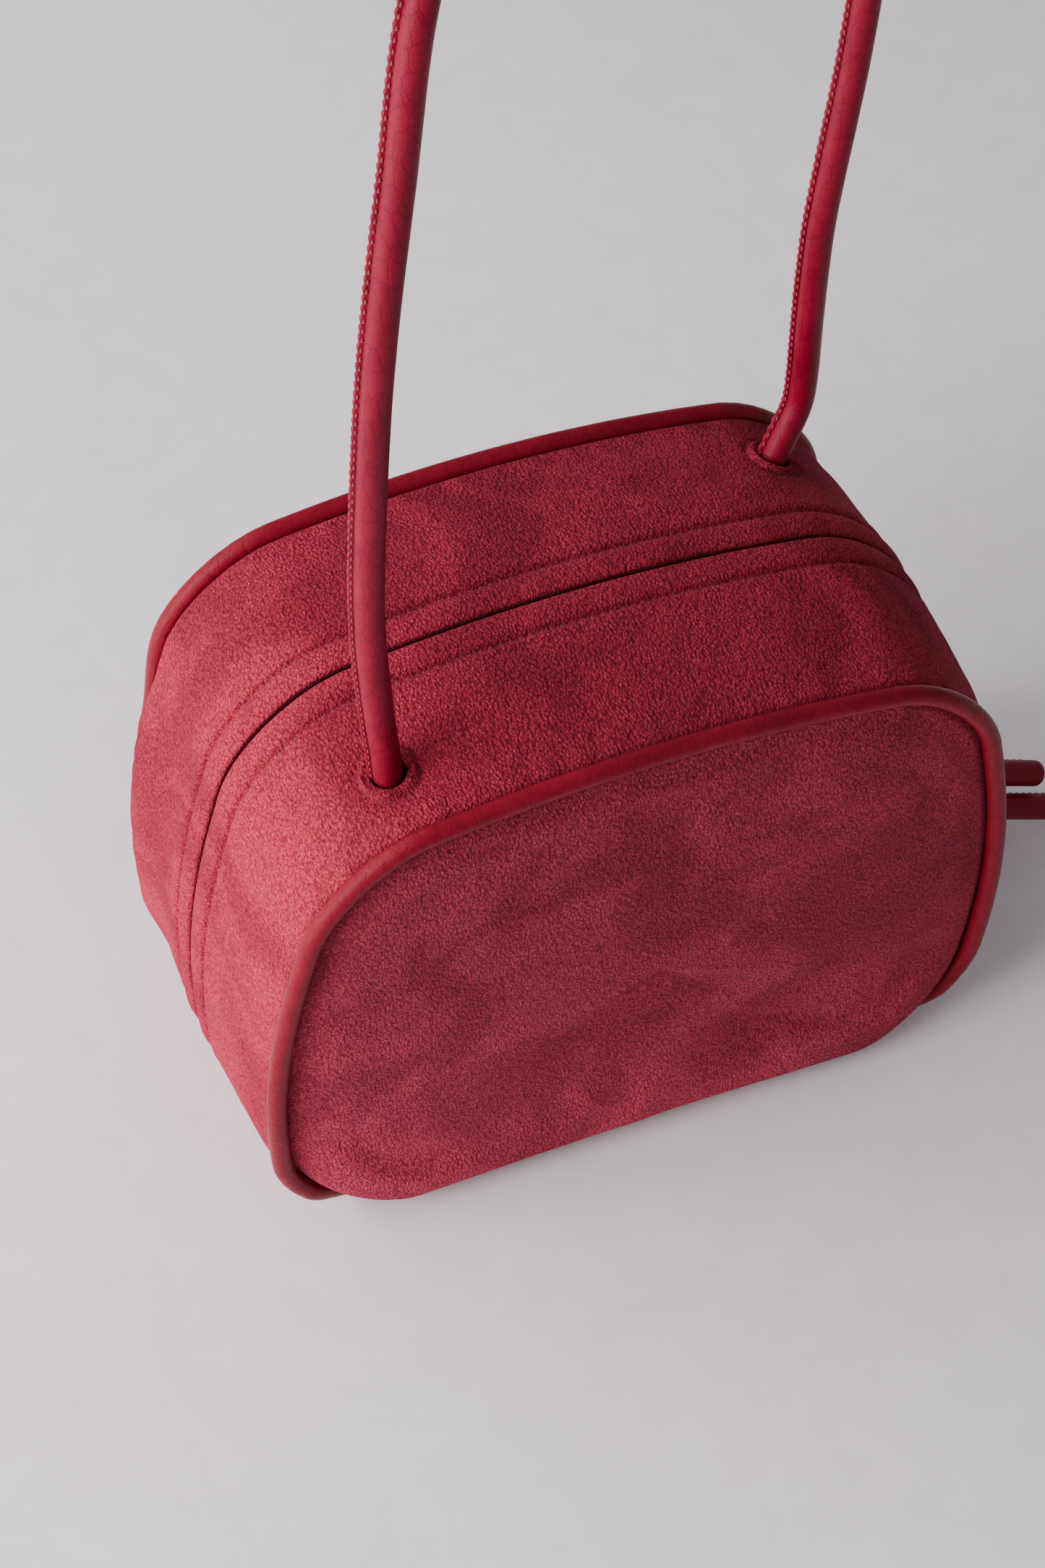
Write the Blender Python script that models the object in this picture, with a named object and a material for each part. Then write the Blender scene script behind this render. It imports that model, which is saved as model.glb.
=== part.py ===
"""Small zip-top bowling bag in suede, with leather piping, a rolled leather shoulder strap and a doubled
leather zip pull.

Metres, +Z up. The origin is the middle of the base, where the bag stands: +X runs along the bag to the
closed end of the zip, and -Y is the front.
"""

import math

import bmesh
import bpy
import numpy as np
from mathutils import Matrix, Vector

GAP = 0.0003  # between neighbouring pieces

# The outline of the front and back panels, on the middle of the piping: a rounded trapezoid whose sides
# bow out and whose top is crowned.
HALF_BOTTOM = 0.1104
HALF_TOP = 0.0984
OUTLINE_H = 0.1578
TOP_RADIUS = 0.030
BOTTOM_RADIUS = 0.031
CROWN = 0.0149
SIDE_BOW = 0.105
OUTLINE_Z = 0.0033  # the outline's lowest level

# Depth, from the front to the back.
HALF_DEPTH = 0.0617  # to the middle of each piping
PIPING_R = 0.0030
PIPING_WALL = 0.0009
PIPING_SLIT = 0.9  # half angle of the open seam side, in radians
PANEL_EDGE_Y = 0.0622
PANEL_DOME = 0.0050
DOME_RINGS = (1.0, 0.9, 0.62)  # as shares of the way out from the panel's middle
PANEL_WALL = 0.0016
BOARD_WALL = 0.0010
LINING_WALL = 0.0007

# The gusset band, which runs round between the two pipings. Offsets are outwards from the outline.
GUSSET_WALL = 0.0018
GUSSET_EDGE = 0.0005
GUSSET_CROWN = 0.0049
GUSSET_Y = HALF_DEPTH - PIPING_R - GAP
SEAM_Z = 0.027  # where the gusset halves meet the base panel
BASE_BOARD_WALL = 0.0016
BASE_BOARD_SHARE = 0.62  # of the base panel's length, so that it stays on the flat
LINING_OFFSET = -0.0035
LINING_Y = GUSSET_Y - BOARD_WALL - LINING_WALL - 3 * GAP
LINING_OPEN_Y = 0.0125  # half of the lining's opening along the zip
BACKING_GAP = 0.0009  # from the gusset, over a patch that reinforces each strap hole
BACKING_HALF = 0.0125
BACKING_WALL = 0.0009

# Zip.
LIP_Y = 0.0010
ZIP_OFFSET = -0.0006
ZIP_X = 0.1134  # the zip runs straight up here, where the slider travels
ZIP_END_Z = 0.0300
TAPE_WALL = 0.0006
COIL_HALF = 0.0017
COIL_WALL = 0.0018
STOP_WALL = 0.0020
STOP_LENGTH = 0.0019
STOP_HALF = 0.0024
SLIDER_Z = 0.0370
SLIDER_HALF = 0.0055
SLIDER_HALF_WIDTH = 0.0040
SLIDER_PLATE = 0.0010
SLIDER_CLEAR = 0.0005  # from each plate to the coil
FLANGE_WALL = 0.0009
FLANGE_INSET = 0.0010
NECK_WALL = 0.0011
NECK_HALF = 0.0030
EYE_X = 0.1245
EYE_R = 0.0026
EYE_HOLE_R = 0.0012

# Pull: a wire ring, and a rolled leather cord doubled through it.
PULL_DROOP = math.radians(23.5)
RING_WIRE_R = 0.0007
RING_LENGTH = 0.0135
RING_HALF_WIDTH = 0.0062
RING_CORNER_R = 0.0016
PULL_R = 0.0044
PULL_BEND_R = 0.0055
PULL_UPPER = 0.056  # the two tails, from the hinge to their tips
PULL_LOWER = 0.070
PULL_TWIST = math.radians(45)
PULL_TWIST_LENGTH = 0.026

# Strap: a rolled leather tube over a rope core, arched across the bag's diagonal, with its seam edge
# standing out along one side.
STRAP_R = 0.0042
STRAP_WALL = 0.0013
SEAM_EDGE = 0.0013
SEAM_EDGE_ANGLE = 0.20  # half of the seam edge's width, as an angle
LEAST_RIDGE = 0.00003  # where the seam edge dies away
SEAM_LEAN = math.radians(50)
STRAP_HOLE_R = 0.0057
STRAP_X = 0.0030  # the strap sits this far off the middle
HOLE_AT = Vector((0.0766, 0.0375))  # the back hole from the strap's middle; the front one is opposite
HOLE_Z = 0.170
ROOT_LENGTH = 0.0270
PIVOT_Z = 0.1835
KNOT_R = 0.0072
KNOT_FLAT = 0.72
# Its route from the front pivot to the back one: distance along the diagonal, and height.
STRAP_ROUTE = (
    (-0.0870, PIVOT_Z), (-0.0890, 0.196), (-0.0929, 0.228), (-0.0942, 0.257), (-0.0931, 0.307),
    (-0.0904, 0.343), (-0.0857, 0.381), (-0.0790, 0.430), (-0.0600, 0.476), (-0.0215, 0.505),
    (0.0225, 0.508), (0.0620, 0.487), (0.0890, 0.445), (0.0995, 0.396), (0.1005, 0.345),
    (0.0990, 0.309), (0.0950, 0.274), (0.0931, 0.252), (0.0937, 0.222), (0.0952, 0.196),
    (0.0942, PIVOT_Z),
)

# Slip pocket on the back lining.
POCKET_HALF = 0.055
POCKET_LOW, POCKET_HIGH = 0.045, 0.120
POCKET_DEPTH = 0.0034
POCKET_WALL = 0.0008
POCKET_HEM = 0.0012

RING_STEPS = 52  # facets round the outline
GUSSET_STEPS = 44
BASE_STEPS = 22
BOARD_STEPS = 12
BACKING_STEPS = 8
ARC_STEPS = 32
END_TAPER = 0.62  # a rod's rounded end: the last ring's share of the radius, and how far it stands off
END_REACH = 0.78

SUEDE = ("suede", (0.36, 0.035, 0.055), 0.95, 0.0)
LEATHER = ("smooth_leather", (0.27, 0.012, 0.024), 0.45, 0.0)
LINING = ("lining_fabric", (0.20, 0.025, 0.035), 0.85, 0.0)
FOAM = ("foam", (0.75, 0.72, 0.66), 0.95, 0.0)
BOARD = ("stiffener_board", (0.30, 0.27, 0.23), 0.8, 0.0)
ROPE = ("rope_core", (0.70, 0.66, 0.58), 0.9, 0.0)
TAPE = ("zip_tape", (0.16, 0.012, 0.02), 0.8, 0.0)
COIL = ("zip_coil", (0.13, 0.01, 0.016), 0.5, 0.0)
BRASS = ("brass", (0.80, 0.62, 0.34), 0.25, 1.0)


def clear_scene():
    for obj in list(bpy.data.objects):
        bpy.data.objects.remove(obj, do_unlink=True)


def material(finish):
    name, colour, roughness, metallic = finish
    made = bpy.data.materials.get(name)
    if made is None:
        made = bpy.data.materials.new(name)
        made.use_nodes = True
        shader = made.node_tree.nodes["Principled BSDF"]
        shader.inputs["Base Color"].default_value = (*colour, 1.0)
        shader.inputs["Roughness"].default_value = roughness
        shader.inputs["Metallic"].default_value = metallic
    return made


def add_object(name, bm, finish, parent=None):
    """Turns a bmesh in world coordinates into an object, with its faces pointing out."""
    bmesh.ops.recalc_face_normals(bm, faces=bm.faces)
    mesh = bpy.data.meshes.new(name)
    bm.to_mesh(mesh)
    bm.free()
    mesh.shade_smooth()
    mesh.set_sharp_from_angle(angle=math.radians(35))
    obj = bpy.data.objects.new(name, mesh)
    bpy.context.scene.collection.objects.link(obj)
    if finish is None:
        obj.hide_render = True
        obj.display_type = "WIRE"
    else:
        mesh.materials.append(material(finish))
    if parent is not None:
        mesh.transform(Matrix.Translation(-parent.location))
        obj.parent = parent
    return obj


def add_pivot(name, place):
    """An empty on a joint's axis, which carries the pieces that the joint moves."""
    pivot = bpy.data.objects.new(name, None)
    pivot.location = place
    pivot.empty_display_size = 0.01
    bpy.context.scene.collection.objects.link(pivot)
    return pivot


def boolean(obj, other, operation):
    cut = obj.modifiers.new(operation.lower(), "BOOLEAN")
    cut.operation = operation
    cut.object = other


class Outline:
    """The closed outline by its length, counted from the middle of the bottom towards +X."""

    DENSE = 1440

    def __init__(self):
        corners = [
            (HALF_BOTTOM, 0.0, BOTTOM_RADIUS),
            (HALF_TOP, OUTLINE_H, TOP_RADIUS),
            (-HALF_TOP, OUTLINE_H, TOP_RADIUS),
            (-HALF_BOTTOM, 0.0, BOTTOM_RADIUS),
        ]
        path = [Vector((0.0, 0.0))]
        for i, (x, z, radius) in enumerate(corners):
            corner = Vector((x, z))
            to_last = (Vector(corners[i - 1][:2]) - corner).normalized()
            to_next = (Vector(corners[(i + 1) % 4][:2]) - corner).normalized()
            half = to_last.angle(to_next) / 2
            centre = corner + (to_last + to_next).normalized() * radius / math.sin(half)
            start = corner + to_last * radius / math.tan(half) - centre
            turn = math.pi - 2 * half
            for k in range(ARC_STEPS + 1):
                path.append(centre + Matrix.Rotation(turn * k / ARC_STEPS, 2) @ start)
        path.append(Vector((0.0, 0.0)))
        x, z = self.spaced(*np.array(path).T)
        up = np.clip(z / OUTLINE_H, 0, 1)
        z = z + CROWN * up**2 * (1 - (x / HALF_BOTTOM) ** 2) + OUTLINE_Z
        x = x * (1 + SIDE_BOW * np.sin(math.pi * up))
        self.x, self.z = self.spaced(x, z)
        self.length = np.hypot(np.diff(self.x), np.diff(self.z)).sum()
        self.s = np.linspace(0, self.length, self.DENSE + 1)
        dx = np.gradient(np.pad(self.x, 1, "wrap"))[1:-1]
        dz = np.gradient(np.pad(self.z, 1, "wrap"))[1:-1]
        size = np.hypot(dx, dz)
        self.nx, self.nz = dz / size, -dx / size
        self.nx[[0, -1]], self.nz[[0, -1]] = 0.0, -1.0

    def spaced(self, x, z):
        """The same path, with its points spaced evenly."""
        run = np.concatenate([[0], np.cumsum(np.hypot(np.diff(x), np.diff(z)))])
        even = np.linspace(0, run[-1], self.DENSE + 1)
        return np.interp(even, run, x), np.interp(even, run, z)

    def at(self, s, offset=0.0):
        """(x, z) at length s, moved outwards by offset."""
        s = s % self.length
        x, z = np.interp(s, self.s, self.x), np.interp(s, self.s, self.z)
        nx, nz = np.interp(s, self.s, self.nx), np.interp(s, self.s, self.nz)
        return float(x + nx * offset), float(z + nz * offset)

    def right_side(self, z):
        """The length at which the right side reaches this height."""
        half = self.DENSE // 2
        return float(self.s[:half][np.argmax(self.z[:half] >= z)])

    def top_at(self, x):
        """The length at which the top passes this x."""
        top = self.z > OUTLINE_H * 0.8
        return float(self.s[top][np.argmin(np.abs(self.x[top] - x))])


def gusset_offset(y):
    """How far the gusset's outer face stands out of the outline: it crowns between the pipings."""
    return GUSSET_EDGE + (GUSSET_CROWN - GUSSET_EDGE) * (1 - (y / HALF_DEPTH) ** 2)


def crowned(start, end, steps, lower=0.0):
    """Places across the gusset, each with how far the gusset, or a layer this far under it, stands out."""
    return [(y, gusset_offset(y) - lower) for y in np.linspace(start, end, steps)]


def level(start, end, offset):
    return [(start, offset), (end, offset)]


def slab(outer, inner, closed=False):
    """A closed shell between two grids of points: rows along the length, columns across."""
    bm = bmesh.new()
    rows, columns = len(outer), len(outer[0])
    top = [[bm.verts.new(p) for p in row] for row in outer]
    low = [[bm.verts.new(p) for p in row] for row in inner]
    for i in range(rows if closed else rows - 1):
        j = (i + 1) % rows
        for k in range(columns - 1):
            bm.faces.new((top[i][k], top[i][k + 1], top[j][k + 1], top[j][k]))
            bm.faces.new((low[i][k], low[j][k], low[j][k + 1], low[i][k + 1]))
        for k in (0, columns - 1):
            bm.faces.new((top[i][k], top[j][k], low[j][k], low[i][k]))
    if not closed:
        for i in (0, rows - 1):
            for k in range(columns - 1):
                bm.faces.new((top[i][k], low[i][k], low[i][k + 1], top[i][k + 1]))
    return bm


def band(outline, start, end, steps, profile, wall, straight=False):
    """A strip round the outline, from one length to another, with (y, offset) pairs across it."""

    def place(s, y, offset):
        x, z = outline.at(s, offset)
        if straight:
            limit = ZIP_X + offset - ZIP_OFFSET
            x = max(-limit, min(limit, x))
        return (x, y, z)

    lengths = np.linspace(start, end, steps + 1)
    outer = [[place(s, y, offset) for y, offset in profile] for s in lengths]
    inner = [[place(s, y, offset - wall) for y, offset in profile] for s in lengths]
    return slab(outer, inner)


def ridged(radius, ridge, sides):
    """A round section with a narrow ridge along its first direction."""
    turns = [2 * math.pi * k / sides for k in range(1, sides)]
    section = [Vector((math.cos(a), math.sin(a))) * radius for a in turns]
    narrow = SEAM_EDGE_ANGLE * radius / (radius + ridge)
    section.append(Vector((math.cos(SEAM_EDGE_ANGLE), -math.sin(SEAM_EDGE_ANGLE))) * radius)
    section.append(Vector((math.cos(narrow), -math.sin(narrow))) * (radius + ridge))
    section.append(Vector((math.cos(narrow), math.sin(narrow))) * (radius + ridge))
    section.append(Vector((math.cos(SEAM_EDGE_ANGLE), math.sin(SEAM_EDGE_ANGLE))) * radius)
    return section


def tube(points, side, radius, sides, hole_r=0.0, ridge=0.0, round_ends=False, closed=False):
    """A round tube or rod. side gives, for each point, one direction square to the route."""
    bm = bmesh.new()
    count = len(points)

    def ring(i, r, along=0.0, share=0.0):
        before = points[i - 1] if i or closed else points[0]
        after = points[(i + 1) % count] if i < count - 1 or closed else points[-1]
        tangent = (after - before).normalized()
        across = (side[i] - tangent * side[i].dot(tangent)).normalized()
        other = tangent.cross(across)
        centre = points[i] + tangent * along
        if ridge:
            section = ridged(r, max(ridge * share, LEAST_RIDGE), sides)
        else:
            turns = [2 * math.pi * k / sides for k in range(sides)]
            section = [Vector((math.cos(a), math.sin(a))) * r for a in turns]
        return [bm.verts.new(centre + across * u + other * v) for u, v in section]

    def bridge(a, b):
        for k in range(len(a)):
            bm.faces.new((a[k], a[(k + 1) % len(a)], b[(k + 1) % len(b)], b[k]))

    # The ridge dies away towards the ends of the route.
    shares = [min(1.0, i / 2, (count - 1 - i) / 2) for i in range(count)]
    rings = [ring(i, radius, share=shares[i]) for i in range(count)]
    if round_ends:
        rings.insert(0, ring(0, radius * END_TAPER, -radius * END_REACH))
        rings.append(ring(count - 1, radius * END_TAPER, radius * END_REACH))
    for a, b in zip(rings, rings[1:]):
        bridge(a, b)
    if closed:
        bridge(rings[-1], rings[0])
    elif hole_r:
        bore = [ring(i, hole_r) for i in range(count)]
        for a, b in zip(bore, bore[1:]):
            bridge(b, a)
        bridge(bore[0], rings[0])
        bridge(rings[-1], bore[-1])
    else:
        bm.faces.new(rings[0])
        bm.faces.new(list(reversed(rings[-1])))
    return bm


def smooth_route(knots, spacing):
    """Points about this far apart on a Catmull-Rom curve through the knots."""
    padded = [2 * knots[0] - knots[1], *knots, 2 * knots[-1] - knots[-2]]
    points = []
    for a, b, c, d in zip(padded, padded[1:], padded[2:], padded[3:]):
        steps = max(2, round((c - b).length / spacing))
        for k in range(steps):
            t = k / steps
            bend = (2 * a - 5 * b + 4 * c - d) * t**2
            turn = (3 * b - a - 3 * c + d) * t**3
            points.append(0.5 * (2 * b + (c - a) * t + bend + turn))
    points.append(knots[-1])
    return points


def plate(outline, inset, near_y, far_y):
    """A flat plate of the outline's shape between two depths."""
    lengths = [outline.length * i / RING_STEPS for i in range(RING_STEPS)]
    edge = [outline.at(s, -inset) for s in lengths]
    bm = bmesh.new()
    near = [bm.verts.new((x, near_y, z)) for x, z in edge]
    far = [bm.verts.new((x, far_y, z)) for x, z in edge]
    for i in range(RING_STEPS):
        j = (i + 1) % RING_STEPS
        bm.faces.new((near[i], near[j], far[j], far[i]))
    bm.faces.new(near)
    bm.faces.new(far)
    return bm


def domed(outline, inset, side, outer_y, inner_y, inner_dome):
    """A panel whose outer face crowns outwards by PANEL_DOME, and whose inner face follows or is flat."""
    lengths = [outline.length * i / RING_STEPS for i in range(RING_STEPS)]
    edge = [Vector(outline.at(s, -inset)) for s in lengths]
    centre = sum(edge, Vector((0.0, 0.0))) / RING_STEPS
    bm = bmesh.new()

    def face(y, dome):
        rings = []
        for share in DOME_RINGS:
            depth = side * (y + dome * (1 - share**4))
            spots = [centre + (p - centre) * share for p in edge]
            rings.append([bm.verts.new((p.x, depth, p.y)) for p in spots])
        middle = bm.verts.new((centre.x, side * (y + dome), centre.y))
        for a, b in zip(rings, rings[1:]):
            for i in range(RING_STEPS):
                j = (i + 1) % RING_STEPS
                bm.faces.new((a[i], a[j], b[j], b[i]))
        for i in range(RING_STEPS):
            bm.faces.new((rings[-1][i], rings[-1][(i + 1) % RING_STEPS], middle))
        return rings[0]

    outer, inner = face(outer_y, PANEL_DOME), face(inner_y, inner_dome)
    for i in range(RING_STEPS):
        j = (i + 1) % RING_STEPS
        bm.faces.new((outer[i], inner[i], inner[j], outer[j]))
    return bm


def add_panels(outline):
    """Each face of the bag, from the outside in: suede, foam, stiffener and lining."""
    skin_inset = PIPING_R + GAP
    inner_inset = skin_inset + GAP
    skin_inner = PANEL_EDGE_Y - PANEL_WALL
    board_out = HALF_DEPTH - PIPING_R - GAP
    foam_in = board_out + GAP
    lining_out = board_out - BOARD_WALL - GAP
    for name, side in (("front", -1), ("back", 1)):
        skin = domed(outline, skin_inset, side, PANEL_EDGE_Y, skin_inner, PANEL_DOME)
        add_object(f"{name}_panel", skin, SUEDE)
        foam = domed(outline, inner_inset, side, skin_inner - GAP, foam_in, 0.0)
        add_object(f"{name}_foam", foam, FOAM)
        board = plate(outline, inner_inset, side * board_out, side * (board_out - BOARD_WALL))
        add_object(f"{name}_stiffener", board, BOARD)
        lining = plate(outline, inner_inset, side * lining_out, side * (lining_out - LINING_WALL))
        add_object(f"{name}_lining", lining, LINING)
    return lining_out - LINING_WALL


def add_piping(outline):
    """Leather strip folded round a cord, open along its seam, which faces the middle of the panel."""
    spread = math.pi - PIPING_SLIT / 2
    outer_angles = np.linspace(-spread, spread, 8)
    inner_angles = np.linspace(-spread, spread, 6)
    inner_r = PIPING_R - PIPING_WALL
    lengths = [outline.length * i / RING_STEPS for i in range(RING_STEPS)]
    for name, y in (("front", -HALF_DEPTH), ("back", HALF_DEPTH)):

        def place(s, angle, r):
            x, z = outline.at(s, r * math.cos(angle))
            return Vector((x, y + r * math.sin(angle), z))

        bm = bmesh.new()
        rings = []
        for s in lengths:
            section = [place(s, a, PIPING_R) for a in outer_angles]
            section += [place(s, a, inner_r) for a in reversed(inner_angles)]
            rings.append([bm.verts.new(p) for p in section])
        for a, b in zip(rings, rings[1:] + rings[:1]):
            for k in range(len(a)):
                bm.faces.new((a[k], a[k - 1], b[k - 1], b[k]))
        add_object(f"{name}_piping", bm, LEATHER)
        route = [Vector((*outline.at(s), y)).xzy for s in lengths]
        core = tube(route, [Vector((0, 1, 0))] * RING_STEPS, inner_r - GAP, 6, closed=True)
        add_object(f"{name}_piping_core", core, ROPE)


def add_gusset(outline, hole_cutters):
    """The band's skin and lining: two long halves that meet along the zip, and the base."""
    seam = outline.right_side(SEAM_Z)
    start, end = seam + GAP / 2, outline.length - seam - GAP / 2
    for name, side in (("front", -1), ("back", 1)):
        skin = band(outline, start, end, GUSSET_STEPS, crowned(side * LIP_Y, side * GUSSET_Y, 5), GUSSET_WALL)
        boolean(add_object(f"{name}_gusset", skin, SUEDE), hole_cutters[name], "DIFFERENCE")
        profile = level(side * LINING_OPEN_Y, side * LINING_Y, LINING_OFFSET)
        lining = band(outline, start, end, GUSSET_STEPS, profile, LINING_WALL)
        boolean(add_object(f"{name}_gusset_lining", lining, LINING), hole_cutters[name], "DIFFERENCE")
        x, y = side * HOLE_AT
        at = outline.top_at(STRAP_X + x)
        profile = crowned(y - BACKING_HALF, y + BACKING_HALF, 4, GUSSET_WALL + BACKING_GAP)
        patch = band(outline, at - BACKING_HALF, at + BACKING_HALF, BACKING_STEPS, profile, BACKING_WALL)
        boolean(add_object(f"{name}_strap_backing", patch, LEATHER), hole_cutters[name], "DIFFERENCE")

    start, end = outline.length - seam + GAP / 2, outline.length + seam - GAP / 2
    base = band(outline, start, end, BASE_STEPS, level(-GUSSET_Y, GUSSET_Y, OUTLINE_Z), GUSSET_WALL)
    add_object("base_panel", base, SUEDE)
    flat = seam * BASE_BOARD_SHARE
    profile = level(-GUSSET_Y + GAP, GUSSET_Y - GAP, OUTLINE_Z - GUSSET_WALL - GAP)
    board = band(outline, outline.length - flat, outline.length + flat, BOARD_STEPS, profile, BASE_BOARD_WALL)
    add_object("base_board", board, BOARD)
    lining = band(outline, start, end, BASE_STEPS, level(-LINING_Y, LINING_Y, LINING_OFFSET), LINING_WALL)
    add_object("base_lining", lining, LINING)


def box(low, high):
    bm = bmesh.new()
    bmesh.ops.create_cube(bm, size=1.0)
    low, high = Vector(low), Vector(high)
    for vert in bm.verts:
        vert.co = Vector(((low[i] + high[i]) / 2 + vert.co[i] * (high[i] - low[i])) for i in range(3))
    return bm


def add_zip(outline):
    """Two tapes and the meshed coil under the lips, with a stop at each end."""
    start = outline.right_side(ZIP_END_Z)
    end = outline.length - start
    tape_offset = ZIP_OFFSET + TAPE_WALL / 2
    for name, side in (("front", -1), ("back", 1)):
        profile = level(side * (COIL_HALF + GAP), side * (LINING_OPEN_Y - GAP), tape_offset)
        tape = band(outline, start, end, GUSSET_STEPS, profile, TAPE_WALL, straight=True)
        add_object(f"{name}_zip_tape", tape, TAPE)
    profile = level(-COIL_HALF, COIL_HALF, ZIP_OFFSET + COIL_WALL / 2)
    coil = band(outline, start, end, GUSSET_STEPS, profile, COIL_WALL, straight=True)
    add_object("zip_coil", coil, COIL)
    profile = level(-STOP_HALF, STOP_HALF, ZIP_OFFSET + STOP_WALL / 2)
    for name, low in (("closed", start - GAP - STOP_LENGTH), ("open", end + GAP)):
        stop = band(outline, low, low + STOP_LENGTH, 1, profile, STOP_WALL)
        add_object(f"zip_{name}_end_stop", stop, BRASS)


def add_slider(pivot):
    """Top plate with side flanges, and a neck that stands out between the lips and carries the eye."""
    plate_x = ZIP_X + COIL_WALL / 2 + SLIDER_CLEAR
    joined_x = plate_x + SLIDER_PLATE / 2
    low_z, high_z = SLIDER_Z - SLIDER_HALF, SLIDER_Z + SLIDER_HALF
    top = box(
        (plate_x, -SLIDER_HALF_WIDTH, low_z),
        (plate_x + SLIDER_PLATE, SLIDER_HALF_WIDTH, high_z),
    )
    body = add_object("slider_body", top, BRASS, pivot)
    flange_low = ZIP_X + TAPE_WALL / 2 + GAP
    for name, y in (("front", FLANGE_WALL - SLIDER_HALF_WIDTH), ("back", SLIDER_HALF_WIDTH)):
        flange = box(
            (flange_low, y - FLANGE_WALL, low_z + FLANGE_INSET),
            (joined_x, y, high_z - FLANGE_INSET),
        )
        boolean(body, add_object(f"cut_{name}_flange", flange, None), "UNION")
    neck = box(
        (joined_x, -NECK_WALL / 2, SLIDER_Z - NECK_HALF),
        (EYE_X - EYE_R / 2, NECK_WALL / 2, SLIDER_Z + NECK_HALF),
    )
    boolean(body, add_object("cut_neck", neck, None), "UNION")
    centre = Vector((EYE_X, 0, SLIDER_Z))
    reach = Vector((0, NECK_WALL / 2, 0))
    side = [Vector((1, 0, 0))] * 2
    eye = tube([centre - reach, centre + reach], side, EYE_R, 16)
    boolean(body, add_object("cut_eye", eye, None), "UNION")
    hole = tube([centre - 3 * reach, centre + 3 * reach], side, EYE_HOLE_R, 12)
    boolean(body, add_object("cut_eye_hole", hole, None), "DIFFERENCE")
    under_x = ZIP_X - COIL_WALL / 2 - SLIDER_CLEAR
    under = box(
        (under_x - SLIDER_PLATE, -SLIDER_HALF_WIDTH, low_z),
        (under_x, SLIDER_HALF_WIDTH, high_z),
    )
    add_object("slider_under_plate", under, BRASS, pivot)


def add_pull(pivot):
    """The ring through the slider's eye, and the doubled cord, which droops towards the floor."""
    out = Vector((math.cos(PULL_DROOP), 0, -math.sin(PULL_DROOP)))
    up = Vector((math.sin(PULL_DROOP), 0, math.cos(PULL_DROOP)))
    across = Vector((0, 1, 0))
    hinge = pivot.location
    route = []
    near, far = RING_CORNER_R, RING_LENGTH - RING_CORNER_R
    for along, side, first in ((near, -1, 180), (far, -1, 270), (far, 1, 0), (near, 1, 90)):
        centre = hinge + out * along + across * side * (RING_HALF_WIDTH - RING_CORNER_R)
        for k in range(4):
            angle = math.radians(first + 30 * k)
            route.append(centre + (out * math.cos(angle) + across * math.sin(angle)) * RING_CORNER_R)
    ring = tube(route, [up] * len(route), RING_WIRE_R, 6, closed=True)
    add_object("pull_ring", ring, BRASS, pivot)

    def twisted(along):
        t = min(1.0, max(0.0, (along - RING_LENGTH) / PULL_TWIST_LENGTH))
        angle = PULL_TWIST * t * t * (3 - 2 * t)
        return (up * math.cos(angle) + across * math.sin(angle)) * PULL_BEND_R

    tip = PULL_R * END_REACH
    route = [hinge + out * a + twisted(a) for a in np.linspace(PULL_UPPER - tip, RING_LENGTH, 7)]
    for k in range(1, 8):
        angle = math.pi * k / 8
        spoke = up * math.cos(angle) - out * math.sin(angle)
        route.append(hinge + out * RING_LENGTH + spoke * PULL_BEND_R)
    route += [hinge + out * a - twisted(a) for a in np.linspace(RING_LENGTH, PULL_LOWER - tip, 9)]
    cord = tube(route, [across] * len(route), PULL_R, 10, round_ends=True)
    add_object("pull_cord", cord, LEATHER, pivot)


class StrapPlane:
    """The upright plane across the bag's diagonal that holds the strap."""

    def __init__(self):
        self.along = Vector((*HOLE_AT.normalized(), 0.0))
        self.across = Vector((-self.along.y, self.along.x, 0.0))
        self.seam = self.across * math.cos(SEAM_LEAN) - self.along * math.sin(SEAM_LEAN)

    def place(self, along, z):
        return Vector((STRAP_X, 0.0, z)) + self.along * along

    def root(self, end):
        """A root's two ends: below its pivot, clear of the swinging arch, and inside the bag."""
        pivot = self.place(*STRAP_ROUTE[0 if end < 0 else -1])
        direction = (pivot - self.place(end * HOLE_AT.length, HOLE_Z)).normalized()
        return pivot - direction * (STRAP_R + 2 * GAP), pivot - direction * ROOT_LENGTH


def add_strap(plane, pivot):
    """The arch, and at each end the root that goes through its hole to a knot inside the bag."""
    route = smooth_route([plane.place(along, z) for along, z in STRAP_ROUTE], 0.017)
    seam = [plane.seam] * len(route)
    leather = tube(route, seam, STRAP_R, 9, hole_r=STRAP_R - STRAP_WALL, ridge=SEAM_EDGE)
    add_object("strap_leather", leather, LEATHER, pivot)
    core = tube(route, seam, STRAP_R - STRAP_WALL - GAP, 6, round_ends=True)
    add_object("strap_core", core, ROPE, pivot)

    for name, end in (("front", -1), ("back", 1)):
        top, low = plane.root(end)
        direction = (top - low).normalized()
        add_object(f"{name}_strap_root", tube([low, top], [plane.across] * 2, STRAP_R, 12), LEATHER)
        knot = bmesh.new()
        bmesh.ops.create_uvsphere(knot, u_segments=12, v_segments=8, radius=KNOT_R)
        bmesh.ops.scale(knot, vec=(1, 1, KNOT_FLAT), verts=knot.verts)
        turn = direction.to_track_quat("Z", "Y").to_matrix()
        bmesh.ops.rotate(knot, matrix=turn, verts=knot.verts)
        bmesh.ops.translate(knot, vec=low - direction * (KNOT_R * KNOT_FLAT + GAP), verts=knot.verts)
        add_object(f"{name}_strap_knot", knot, LEATHER)


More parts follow.
